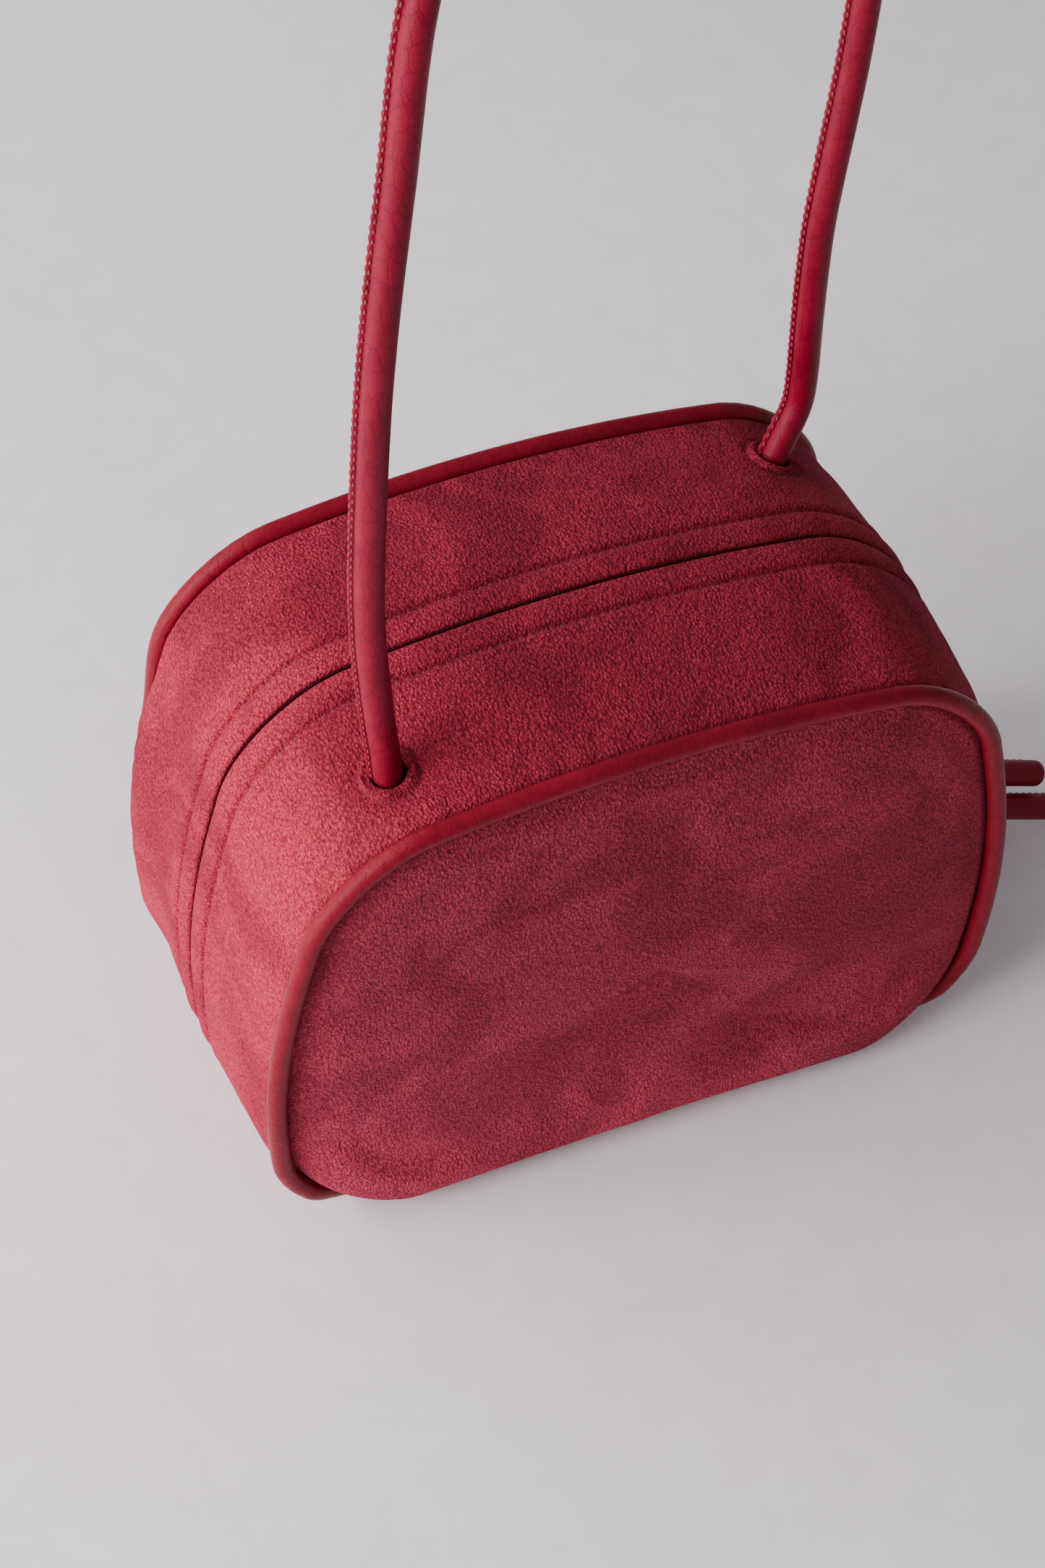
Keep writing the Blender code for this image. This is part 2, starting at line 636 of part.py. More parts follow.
def hole_cutters(plane):
    """The tools that cut each strap hole, through the gusset, its backing and its lining."""
    cutters = {}
    for name, end in (("front", -1), ("back", 1)):
        top, low = plane.root(end)
        reach = (top - low).normalized() * STRAP_HOLE_R
        rod = tube([low, top + reach], [plane.across] * 2, STRAP_HOLE_R, 20)
        cutters[name] = add_object(f"cut_{name}_hole", rod, None)
    return cutters


def add_slip_pocket(lining_y):
    """A slip pocket on the back lining, held on by its edges and open at the top."""
    back = lining_y - GAP
    outer = box((-POCKET_HALF, back - POCKET_DEPTH, POCKET_LOW), (POCKET_HALF, back, POCKET_HIGH))
    pocket = add_object("slip_pocket", outer, LINING)
    half = POCKET_HALF - POCKET_HEM
    inside = box(
        (-half, back - POCKET_DEPTH + POCKET_WALL, POCKET_LOW + POCKET_HEM),
        (half, back - POCKET_WALL, POCKET_HIGH + POCKET_HEM),
    )
    boolean(pocket, add_object("cut_pocket", inside, None), "DIFFERENCE")


def main():
    clear_scene()
    outline = Outline()
    plane = StrapPlane()
    lining_y = add_panels(outline)
    add_piping(outline)
    add_gusset(outline, hole_cutters(plane))
    add_zip(outline)
    add_slip_pocket(lining_y)
    add_slider(add_pivot("zip_slide_axis", (ZIP_X, 0, SLIDER_Z)))
    add_pull(add_pivot("pull_swing_axis", (EYE_X, 0, SLIDER_Z)))
    add_strap(plane, add_pivot("strap_swing_axis", (STRAP_X, 0, PIVOT_Z)))


main()
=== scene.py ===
"""Looks for the small suede bowling bag: soft suede skins, piping, rolled strap, pull and stitching."""
import math

import bmesh
import bpy
import numpy as np
from mathutils import Matrix, Vector, noise


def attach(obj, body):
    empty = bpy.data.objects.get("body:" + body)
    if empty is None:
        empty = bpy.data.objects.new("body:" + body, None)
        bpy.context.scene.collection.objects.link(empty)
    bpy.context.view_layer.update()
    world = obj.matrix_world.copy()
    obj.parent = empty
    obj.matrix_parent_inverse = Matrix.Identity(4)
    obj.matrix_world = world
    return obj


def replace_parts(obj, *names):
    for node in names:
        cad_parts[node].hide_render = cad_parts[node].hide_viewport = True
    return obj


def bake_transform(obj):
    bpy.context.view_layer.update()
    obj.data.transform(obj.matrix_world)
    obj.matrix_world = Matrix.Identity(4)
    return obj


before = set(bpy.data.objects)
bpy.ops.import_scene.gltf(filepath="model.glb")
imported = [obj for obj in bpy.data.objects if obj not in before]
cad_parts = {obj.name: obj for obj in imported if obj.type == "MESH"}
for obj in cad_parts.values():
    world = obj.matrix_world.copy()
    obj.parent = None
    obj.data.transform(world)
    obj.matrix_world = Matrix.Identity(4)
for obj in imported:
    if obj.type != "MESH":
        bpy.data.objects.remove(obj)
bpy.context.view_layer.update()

# ---------------------------------------------------------------- dimensions, as in the CAD model
HALF_BOTTOM, HALF_TOP, OUTLINE_H = 0.1104, 0.0984, 0.1578
TOP_RADIUS, BOTTOM_RADIUS, CROWN, SIDE_BOW, OUTLINE_Z = 0.030, 0.031, 0.0149, 0.105, 0.0033
HALF_DEPTH, PIPING_R = 0.0617, 0.0030
GUSSET_EDGE, GUSSET_CROWN = 0.0005, 0.0049
SEAM_Z = 0.027
STRAP_R, STRAP_HOLE_R = 0.0042, 0.0057
STRAP_X = 0.0030
HOLE_AT = Vector((0.0766, 0.0375))
HOLE_Z = 0.170
PIVOT_Z = 0.1835
STRAP_ROUTE = (
    (-0.0870, PIVOT_Z), (-0.0890, 0.196), (-0.0929, 0.228), (-0.0942, 0.257), (-0.0931, 0.307),
    (-0.0904, 0.343), (-0.0857, 0.381), (-0.0790, 0.430), (-0.0600, 0.476), (-0.0215, 0.505),
    (0.0225, 0.508), (0.0620, 0.487), (0.0890, 0.445), (0.0995, 0.396), (0.1005, 0.345),
    (0.0990, 0.309), (0.0950, 0.274), (0.0931, 0.252), (0.0937, 0.222), (0.0952, 0.196),
    (0.0942, PIVOT_Z),
)
PULL_HINGE = Vector((0.1245, 0.0, 0.0370))
PULL_DROOP, PULL_TWIST, PULL_TWIST_LENGTH = math.radians(23.5), math.radians(45), 0.026
RING_LENGTH, PULL_R, PULL_BEND_R, PULL_UPPER, PULL_LOWER = 0.0135, 0.0044, 0.0055, 0.056, 0.070

# ---------------------------------------------------------------- look
SKIN = 0.0012  # thickness of the suede
TURNED_EDGE = (0.0016, 0.0009, 0.0004, 0.0001)  # how far a skin's cut end turns in, row by row
ROUND_OVER = (  # (depth, drop) where the band and the base turn down under the piping
    (0.0564, 0.0), (0.0572, 0.0001), (0.0579, 0.0005), (0.0584, 0.0011), (0.0587, 0.0020),
)
SEAM_GAP = 0.0002  # from the seam's line to each skin's end
BROAD_DENT, SMALL_DENT = 0.0009, 0.00025

STITCH_Y = 0.0110  # topstitching, each side of the zip
STITCH_PITCH = 0.0031
STITCH, RING_STITCH = (0.0024, 0.00034), (0.0022, 0.00034)  # length and radius of a thread
STITCH_SINK = 0.00012
STITCH_INSET = 0.004  # from the band's ends to the first stitch
GROOVE, GROOVE_WIDTH, PUCKER = 0.00140, 0.00095, 0.00025  # the sunk line that the topstitching makes
LIP_PUFF, GROOVE_PUFF = 0.0007, 0.0003  # the suede's swelling on either side of it

HOLE_RING_R = 0.0090  # stitched ring round each strap hole
RING_RIM, RING_GROOVE, HOLE_DIP = 0.0011, 0.0012, 0.0007
HOLE_EDGE_R = 0.00072  # the rolled suede edge of each hole

BASE_HOLLOW = 0.0002
BASE_STITCH_S = 0.0032  # from the base's end seams to their stitches

SEAM_PITCH = 0.0029  # stitches along the strap's seam
SEAM_STITCH = (0.0019, 0.00030)
SEAM_EDGE = 0.0013
SEAM_HALF_WIDTH = 0.00085
SEAM_SUNK = 0.0007  # how far inside the tube the seam edge starts
SEAM_LEAN = math.radians(50)

PANEL_TUCK = 0.0026  # how far inside the piping's middle the panels start
PANEL_EDGE_Y = 0.0594
PANEL_CROWN = 0.0062
CORD_R = 0.0017  # the twisted cord in the piping

TUCK = 0.0053  # how far the bottom edges turn in under the bag
ROLL = 0.0135  # how far the panels' lower edges stand out over them
BACK_PUFF = 0.0044  # the gusset's swelling beside the back piping
BACK_PULL = 0.0026
BACK_SAG = 0.0020
CLOTH_RINGS, CLOTH_SPOKES, CLOTH_STEPS = 17, 80, 15
PADDING_SWELL = 0.0014  # the most that the padding pushes the panels' suede out
SWELL_EASE = 0.0004
FOAM_LEVEL = 0.968  # how far out the foam reaches, as a share of the panel
FOAM_DEPTH = 0.0016  # the foam's face behind the suede's
FOAM_BACK_Y = 0.0588

FOCAL_PX, IMAGE_HEIGHT, SENSOR = 5015, 2168, 36  # the solved camera, in pixels and mm

DIAGONAL = Vector((*HOLE_AT.normalized(), 0.0))
ACROSS = Vector((-DIAGONAL.y, DIAGONAL.x, 0.0))


# ---------------------------------------------------------------- shape helpers
class Outline:
    """The closed outline on the middle of the piping, by its length from the middle of the bottom."""

    DENSE = 4320

    def __init__(self):
        corners = [
            (HALF_BOTTOM, 0.0, BOTTOM_RADIUS),
            (HALF_TOP, OUTLINE_H, TOP_RADIUS),
            (-HALF_TOP, OUTLINE_H, TOP_RADIUS),
            (-HALF_BOTTOM, 0.0, BOTTOM_RADIUS),
        ]
        path = [Vector((0.0, 0.0))]
        for i, (x, z, radius) in enumerate(corners):
            corner = Vector((x, z))
            to_last = (Vector(corners[i - 1][:2]) - corner).normalized()
            to_next = (Vector(corners[(i + 1) % 4][:2]) - corner).normalized()
            half = to_last.angle(to_next) / 2
            centre = corner + (to_last + to_next).normalized() * radius / math.sin(half)
            start = corner + to_last * radius / math.tan(half) - centre
            turn = math.pi - 2 * half
            for k in range(33):
                path.append(centre + Matrix.Rotation(turn * k / 32, 2) @ start)
        path.append(Vector((0.0, 0.0)))
        x, z = self.spaced(*np.array(path).T)
        up = np.clip(z / OUTLINE_H, 0, 1)
        z = z + CROWN * up**2 * (1 - (x / HALF_BOTTOM) ** 2) + OUTLINE_Z
        x = x * (1 + SIDE_BOW * np.sin(math.pi * up))
        self.x, self.z = self.spaced(x, z)
        self.length = float(np.hypot(np.diff(self.x), np.diff(self.z)).sum())
        self.s = np.linspace(0, self.length, self.DENSE + 1)
        dx = self.softened(np.gradient(self.x))
        dz = self.softened(np.gradient(self.z))
        size = np.hypot(dx, dz)
        self.nx, self.nz = dz / size, -dx / size

    def softened(self, values, reach=24):
        """A running mean round the loop, so that the normals turn smoothly into and out of the arcs."""
        loop = values[:-1]
        kernel = np.hanning(2 * reach + 1)
        wide = np.concatenate([loop[-reach:], loop, loop[:reach]])
        mean = np.convolve(wide, kernel / kernel.sum(), "valid")
        return np.append(mean, mean[0])

    def spaced(self, x, z):
        run = np.concatenate([[0], np.cumsum(np.hypot(np.diff(x), np.diff(z)))])
        even = np.linspace(0, run[-1], self.DENSE + 1)
        return np.interp(even, run, x), np.interp(even, run, z)

    def frame_at(self, s):
        """(x, z, nx, nz) arrays at lengths s."""
        s = np.asarray(s, float) % self.length
        return [np.interp(s, self.s, v) for v in (self.x, self.z, self.nx, self.nz)]

    def right_side(self, z):
        half = self.DENSE // 2
        return float(self.s[:half][np.argmax(self.z[:half] >= z)])


OUT = Outline()
SEAM_S = OUT.right_side(SEAM_Z)


def smooth_step(low, high, value):
    t = np.clip((value - low) / (high - low), 0, 1)
    return t * t * (3 - 2 * t)


def bell(value, width):
    return np.exp(-((value / width) ** 2))


def soft_noise(points, size, seed):
    """Smooth noise, about -1 to 1, at each point, with lumps about this size."""
    flat = np.asarray(points, float).reshape(-1, 3) / size + np.array([seed * 7.3, seed * 3.1, seed * 5.7])
    values = [noise.fractal(Vector(p), 0.6, 2.1, 2) for p in flat]
    return np.array(values).reshape(np.shape(points)[:-1])


def crown_at(y):
    """How far the gusset band stands out from the outline at a depth."""
    return GUSSET_EDGE + (GUSSET_CROWN - GUSSET_EDGE) * (1 - (y / HALF_DEPTH) ** 2)


def between(a, b, c, d, t):
    """The smooth curve through four values, at the share t from b to c."""
    return 0.5 * (
        2 * b + (c - a) * t + (2 * a - 5 * b + 4 * c - d) * t**2 + (3 * b - a - 3 * c + d) * t**3
    )


def settled(points):
    """Where the soft bag settles: its bottom edges turn in, and its back is drawn in and sags."""
    x, y, z = (np.array(points[..., i]) for i in range(3))
    side, depth = np.sign(y), np.abs(y)
    y = y - side * TUCK * smooth_step(0.018, 0.0025, z) * smooth_step(0.040, 0.0617, depth)
    back = smooth_step(0.045, 0.0617, side * depth)
    at_side = smooth_step(0.095, 0.110, np.abs(x)) * smooth_step(0.135, 0.105, z)
    x = x - np.sign(x) * BACK_PULL * back * at_side
    z = z - BACK_SAG * smooth_step(0.02, 0.06, side * depth) * smooth_step(0.13, 0.17, z)
    return np.stack([x, y, z], -1)


def new_mesh(name, verts, faces):
    mesh = bpy.data.meshes.new(name)
    mesh.from_pydata([tuple(v) for v in verts], [], [tuple(f) for f in faces])
    mesh.validate()
    mesh.shade_smooth()
    mesh.set_sharp_from_angle(angle=math.radians(60))
    obj = bpy.data.objects.new(name, mesh)
    bpy.context.scene.collection.objects.link(obj)
    return obj


def face_outwards(obj):
    bm = bmesh.new()
    bm.from_mesh(obj.data)
    bmesh.ops.recalc_face_normals(bm, faces=bm.faces)
    bm.to_mesh(obj.data)
    bm.free()


def grid_faces(rows, columns, wrap_rows=False, wrap_columns=False, first=0):
    i = np.arange(rows if wrap_rows else rows - 1)
    k = np.arange(columns if wrap_columns else columns - 1)
    i, k = np.meshgrid(i, k, indexing="ij")
    j, n = (i + 1) % rows, (k + 1) % columns
    quads = np.stack([i * columns + k, i * columns + n, j * columns + n, j * columns + k], -1)
    return (quads.reshape(-1, 4) + first).tolist()


def shell(name, outer, inner):
    """A closed skin between two grids of points."""
    rows, columns = outer.shape[:2]
    count = rows * columns
    faces = grid_faces(rows, columns) + [f[::-1] for f in grid_faces(rows, columns, first=count)]
    rim = [i * columns for i in range(rows)] + [count - columns + k for k in range(1, columns)]
    rim += [i * columns + columns - 1 for i in range(rows - 2, -1, -1)] + list(range(columns - 2, 0, -1))
    for a, b in zip(rim, rim[1:] + rim[:1]):
        faces.append([a, a + count, b + count, b])
    obj = new_mesh(name, np.concatenate([outer.reshape(-1, 3), inner.reshape(-1, 3)]), faces)
    face_outwards(obj)
    return obj


def route_frames(points, lean):
    """Unit tangents, and for each point the direction nearest to lean that is square to the route."""
    tangent = np.gradient(points, axis=0)
    tangent /= np.linalg.norm(tangent, axis=1)[:, None]
    side = lean - tangent * (tangent * lean).sum(1)[:, None]
    side /= np.linalg.norm(side, axis=1)[:, None]
    return tangent, side, np.cross(tangent, side)


def sweep(name, points, lean, section):
    """Sweeps sections, (points, n, 2) offsets along side and other, down a route with closed ends."""
    _, side, other = route_frames(points, lean)
    verts = points[:, None] + side[:, None] * section[..., :1] + other[:, None] * section[..., 1:]
    rows, columns = verts.shape[:2]
    faces = grid_faces(rows, columns, wrap_columns=True)
    faces += [list(range(columns)), list(range((rows - 1) * columns, rows * columns))]
    obj = new_mesh(name, verts.reshape(-1, 3), faces)
    face_outwards(obj)
    return obj


def circle(radius, sides):
    turn = 2 * math.pi * np.arange(sides) / sides
    return np.stack([np.cos(turn), np.sin(turn)], -1) * radius


def smooth_route(knots, spacing):
    padded = [2 * knots[0] - knots[1], *knots, 2 * knots[-1] - knots[-2]]
    points = []
    for a, b, c, d in zip(padded, padded[1:], padded[2:], padded[3:]):
        steps = max(2, round((c - b).length / spacing))
        for k in range(steps):
            points.append(between(a, b, c, d, k / steps))
    points.append(knots[-1])
    return np.array(points)


def evenly(points, spacing):
    """The route resampled at even steps of about this length."""
    run = np.concatenate([[0], np.cumsum(np.linalg.norm(np.diff(points, axis=0), axis=1))])
    even = np.linspace(0, run[-1], max(3, round(run[-1] / spacing) + 1))
    return np.stack([np.interp(even, run, points[:, i]) for i in range(3)], -1)


def stitches(name, places, along, up, size):
    """Short sewn threads: each a rounded bar that dives into the surface at both ends."""
    length, radius = size
    rings, sides = 7, 6
    steps = np.linspace(-1, 1, rings)
    sink = -1.98 * radius * np.abs(steps) ** 3
    girth = radius * np.sqrt(np.clip(1 - (np.abs(steps) * 0.93) ** 4, 0.08, 1))
    turns = 2 * math.pi * np.arange(sides) / sides
    places, along, up = (np.asarray(v, float) for v in (places, along, up))
    along = along / np.linalg.norm(along, axis=1)[:, None]
    up = up - along * (along * up).sum(1)[:, None]
    up /= np.linalg.norm(up, axis=1)[:, None]
    other = np.cross(along, up)
    centre = places[:, None] + along[:, None] * (steps * length / 2)[None, :, None]
    centre = centre + up[:, None] * sink[None, :, None]
    ring = up[:, None, None] * (np.cos(turns)[None, :] * girth[:, None])[None, ..., None]
    ring = ring + other[:, None, None] * (np.sin(turns)[None, :] * girth[:, None])[None, ..., None]
    verts = (centre[:, :, None] + ring).reshape(-1, 3)
    faces = []
    for i in range(len(places)):
        first, last = i * rings * sides, (i + 1) * rings * sides
        faces += grid_faces(rings, sides, wrap_columns=True, first=first)
        faces += [list(range(first, first + sides)), list(range(last - sides, last))]
    obj = new_mesh(name, verts, faces)
    face_outwards(obj)
    return obj


# ---------------------------------------------------------------- materials
class Nodes:
    """A short way to write a material's node tree."""

    def __init__(self, name):
        self.material = bpy.data.materials.new(name)
        self.material.use_nodes = True
        self.tree = self.material.node_tree
        self.shader = self.tree.nodes["Principled BSDF"]
        self.coords = self.tree.nodes.new("ShaderNodeTexCoord").outputs["Object"]

    def link(self, source, target):
        self.tree.links.new(source, target)
        return source

    def stretched(self, scale, turn=(0, 0, 0)):
        node = self.tree.nodes.new("ShaderNodeMapping")
        node.inputs["Scale"].default_value = scale
        node.inputs["Rotation"].default_value = turn
        self.link(self.coords, node.inputs["Vector"])
        return node.outputs["Vector"]

    def noise(self, scale, detail=2.0, roughness=0.5, vector=None, distortion=0.0):
        node = self.tree.nodes.new("ShaderNodeTexNoise")
        node.inputs["Scale"].default_value = scale
        node.inputs["Detail"].default_value = detail
        node.inputs["Roughness"].default_value = roughness
        node.inputs["Distortion"].default_value = distortion
        self.link(vector or self.coords, node.inputs["Vector"])
        return node.outputs["Fac"]

    def cells(self, scale, vector=None, feature="DISTANCE_TO_EDGE"):
        node = self.tree.nodes.new("ShaderNodeTexVoronoi")
        node.feature = feature
        node.inputs["Scale"].default_value = scale
        self.link(vector or self.coords, node.inputs["Vector"])
        return node.outputs["Distance"]

    def warped(self, vector, scale, reach):
        """The vector pushed about by fine noise, so that cells lose their even round shape."""
        node = self.tree.nodes.new("ShaderNodeTexNoise")
        node.inputs["Scale"].default_value = scale
        self.link(vector, node.inputs["Vector"])
        push = self.tree.nodes.new("ShaderNodeVectorMath")
        push.operation = "MULTIPLY_ADD"
        self.link(node.outputs["Color"], push.inputs[0])
        push.inputs[1].default_value = (reach, reach, reach)
        self.link(vector, push.inputs[2])
        return push.outputs["Vector"]

    def along(self, direction):
        """How far each point lies along a direction, in metres."""
        node = self.tree.nodes.new("ShaderNodeVectorMath")
        node.operation = "DOT_PRODUCT"
        node.inputs[1].default_value = direction
        self.link(self.coords, node.inputs[0])
        return node.outputs["Value"]

    def ramp(self, value, *stops):
        node = self.tree.nodes.new("ShaderNodeValToRGB")
        ramp = node.color_ramp
        for i, (place, colour) in enumerate(stops):
            stop = ramp.elements[i] if i < 2 else ramp.elements.new(place)
            stop.position = place
            colour = colour if hasattr(colour, "__len__") else (colour,) * 3
            stop.color = (*colour, 1)
        self.link(value, node.inputs["Fac"])
        return node.outputs["Color"]

    def spread(self, value, low, high, to_low, to_high):
        node = self.tree.nodes.new("ShaderNodeMapRange")
        for name, number in zip(("From Min", "From Max", "To Min", "To Max"), (low, high, to_low, to_high)):
            node.inputs[name].default_value = number
        self.link(value, node.inputs["Value"])
        return node.outputs["Result"]

    def math(self, kind, a, b):
        node = self.tree.nodes.new("ShaderNodeMath")
        node.operation = kind
        for i, value in enumerate((a, b)):
            if isinstance(value, (int, float)):
                node.inputs[i].default_value = value
            else:
                self.link(value, node.inputs[i])
        return node.outputs[0]

    def mix(self, kind, factor, a, b):
        node = self.tree.nodes.new("ShaderNodeMix")
        node.data_type = "RGBA"
        node.blend_type = kind
        for socket, value in ((node.inputs[0], factor), (node.inputs[6], a), (node.inputs[7], b)):
            if isinstance(value, (int, float)):
                socket.default_value = value
            elif isinstance(value, tuple):
                socket.default_value = (*value, 1)
            else:
                self.link(value, socket)
        return node.outputs[2]

    def bump(self, height, strength, distance, under=None):
        node = self.tree.nodes.new("ShaderNodeBump")
        node.inputs["Strength"].default_value = strength
        node.inputs["Distance"].default_value = distance
        self.link(height, node.inputs["Height"])
        if under is not None:
            self.link(under, node.inputs["Normal"])
        return node.outputs["Normal"]

    def finish(self, colour, roughness, normal, **constants):
        for name, value in (("Base Color", colour), ("Roughness", roughness)):
            socket = self.shader.inputs[name]
            if isinstance(value, (int, float)):
                socket.default_value = value
            elif isinstance(value, tuple):
                socket.default_value = (*value, 1)
            else:
                self.link(value, socket)
        self.link(normal, self.shader.inputs["Normal"])
        for name, value in constants.items():
            socket = self.shader.inputs[name.replace("_", " ")]
            socket.default_value = (*value, 1) if isinstance(value, tuple) else value
        return self.material


def suede(name, nap, tone, sheen, lit_towards):
    """Brushed suede: tiny tufts of nap and brushed patches, with painted light: the colour grows lighter
    along the given direction, as the light falls.
    """
    n = Nodes(name)
    space = n.stretched(nap)
    fibres = n.noise(1900, 2.5, 0.62, space, 0.35)
    tufts = n.cells(1150, n.warped(space, 1400, 0.00045), "F1")
    brushed = n.noise(16, 2.2, 0.48, n.stretched((1, 1, 1.2)), 1.6)
    worn = n.noise(7, 1.5, 0.5)
    base = n.ramp(
        fibres,
        (0.30, (0.125, 0.0065, 0.0125)),
        (0.72, (0.385, 0.044, 0.070)),
        (0.50, (0.245, 0.0190, 0.033)),
    )
    # the tint is painted light: it sets the band's and the panels' colours apart for how each is lit
    base = n.mix("MULTIPLY", 1.0, base, tone)
    tuft = n.ramp(tufts, (0.15, 1.20), (0.75, 0.64))
    patch = n.ramp(brushed, (0.42, 0.82), (0.59, 1.15), (0.50, 0.99))
    broad = n.ramp(worn, (0.35, 0.92), (0.65, 1.08))
    # painted light: lighter towards the lower left, where the light from the left and the floor's bounce
    # fall, and a little darker across the middle
    painted_light = n.ramp(n.spread(n.along(lit_towards), -0.17, 0.03, 0, 1), (0.0, 0.95), (1.0, 1.42), (0.5, 0.88))
    colour = base
    for layer in (tuft, patch, broad, painted_light):
        colour = n.mix("MULTIPLY", 1.0, colour, layer)
    height = n.math("SUBTRACT", n.math("MULTIPLY", fibres, 0.6), tufts)
    normal = n.bump(height, 0.75, 0.0007)
    roughness = n.spread(brushed, 0.3, 0.7, 1.0, 0.88)
    return n.finish(
        colour, roughness, normal, Sheen_Weight=sheen, Sheen_Roughness=0.45, Sheen_Tint=(1.0, 0.16, 0.36),
        Specular_IOR_Level=0.08,
    )


def smooth_leather(name, colour, roughness):
    """Smooth calf: fine pores and hairline creases, with a low gloss that varies where it is rubbed."""
    n = Nodes(name)
    grain = n.cells(1500)
    creases = n.cells(260, n.stretched((1, 1, 0.55)))
    tone = n.noise(60, 3.0, 0.6)
    rubbed = n.noise(17, 2.0, 0.5)
    dark = tuple(c * 0.88 for c in colour)
    light = tuple(min(1.0, c * 1.10) for c in colour)
    shade = n.mix("MIX", n.spread(tone, 0.35, 0.65, 0, 1), dark, light)
    # painted shade: the colour darkens along the hairline creases
    shade = n.mix("MULTIPLY", 1.0, shade, n.ramp(creases, (0.0, 0.80), (0.08, 1.0)))
    height = n.math("ADD", n.spread(grain, 0, 0.3, 0, 1), n.spread(creases, 0, 0.1, 0, 1.2))
    normal = n.bump(height, 0.22, 0.00022, n.bump(tone, 0.12, 0.0008))
    worn = n.spread(rubbed, 0.3, 0.7, roughness - 0.07, roughness + 0.09)
    rough = n.math("ADD", worn, n.spread(tone, 0.3, 0.7, -0.03, 0.03))
    return n.finish(shade, rough, normal, Specular_IOR_Level=0.11)


def thread(name, colour):
    n = Nodes(name)
    twist = n.noise(2600, 2.0, 0.5, n.stretched((1, 0.4, 1)))
    shade = n.mix("MULTIPLY", 1.0, colour, n.ramp(twist, (0.35, 0.7), (0.65, 1.15)))
    return n.finish(shade, 0.62, n.bump(twist, 0.5, 0.0001), Sheen_Weight=0.25, Sheen_Roughness=0.4)


def woven(name, colour, scale, roughness=0.85):
    """Plain woven cloth: over and under threads from two crossed waves."""
    n = Nodes(name)
    waves = []
    for turn in ((0, 0, 0), (0, 0, math.pi / 2), (math.pi / 2, 0, 0)):
        wave = n.tree.nodes.new("ShaderNodeTexWave")
        wave.inputs["Scale"].default_value = scale
        wave.inputs["Distortion"].default_value = 0.6
        n.link(n.stretched((1, 1, 1), turn), wave.inputs["Vector"])
        waves.append(wave.outputs["Fac"])
    weave = n.math("MULTIPLY", n.math("ADD", waves[0], waves[1]), n.math("ADD", waves[2], 0.5))
    stain = n.noise(40, 3.0)
    shade = n.mix("MULTIPLY", 1.0, colour, n.ramp(weave, (0.0, 0.6), (1.6, 1.15)))
    shade = n.mix("MULTIPLY", 1.0, shade, n.ramp(stain, (0.35, 0.88), (0.65, 1.08)))
    return n.finish(shade, roughness, n.bump(weave, 0.4, 0.0003), Sheen_Weight=0.2)


def metal(name, colour, roughness=0.24):
    n = Nodes(name)
    brushed = n.noise(900, 3.0, 0.6, n.stretched((1, 0.15, 1)))
    patina = n.noise(130, 3.0, 0.6)
    shade = n.mix("MULTIPLY", 1.0, colour, n.ramp(patina, (0.3, 0.82), (0.7, 1.05)))
    rough = n.spread(brushed, 0.3, 0.7, roughness - 0.06, roughness + 0.1)
    return n.finish(shade, rough, n.bump(brushed, 0.12, 0.0001), Metallic=1.0)


def porous(name, colour, scale, roughness=0.95):
    """Foam, fibre board and cord: small cells or fibres in the colour and the relief."""
    n = Nodes(name)
    cells = n.cells(scale, feature="F1")
    tone = n.noise(scale / 6, 3.0)
    shade = n.mix("MULTIPLY", 1.0, colour, n.ramp(cells, (0.1, 1.05), (0.8, 0.6)))
    shade = n.mix("MULTIPLY", 1.0, shade, n.ramp(tone, (0.35, 0.85), (0.65, 1.1)))
    return n.finish(shade, roughness, n.bump(cells, 0.5, 0.0004))


# One suede: the band's and the panels' tints differ as painted light, for how each is lit.
SUEDE_BAND = suede("suede_band", (1.0, 0.70, 1.0), (1.15, 0.92, 1.05), 0.07, (-0.3, 0.0, -0.4))
SUEDE_PANEL = suede("suede_panel", (1.0, 1.0, 0.70), (1.12, 1.32, 1.28), 0.20, (-0.45, 0.0, -0.90))
LEATHER = smooth_leather("piping_leather", (0.190, 0.0052, 0.0155), 0.36)
STRAP_LEATHER = smooth_leather("strap_leather", (0.192, 0.0042, 0.0185), 0.38)
BACKING = smooth_leather("backing_leather", (0.20, 0.015, 0.022), 0.6)
THREAD = thread("seam_thread", (0.34, 0.032, 0.058))
# The topstitching is sewn tone on tone; this thread's darker colour is painted shade, for the groove it sinks
# into.
TOP_THREAD = thread("top_thread", (0.115, 0.0045, 0.0095))
LINING = woven("lining_twill", (0.20, 0.025, 0.035), 900)
TAPE = woven("zip_tape", (0.12, 0.009, 0.015), 1400)
COIL = woven("zip_coil", (0.10, 0.008, 0.013), 700, 0.5)
BRASS = metal("pale_brass", (0.80, 0.62, 0.36))
FOAM = porous("foam_cells", (0.75, 0.72, 0.66), 900)
BOARD = porous("fibre_board", (0.30, 0.27, 0.23), 600)
ROPE = porous("cotton_cord", (0.70, 0.66, 0.58), 500)


def dress(obj, material, body):
    """Gives a piece its material and slot, and the one body that it rides on, if it has one."""
    obj.data.materials.clear()
    obj.data.materials.append(material)
    if body:
        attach(obj, body)
    return obj


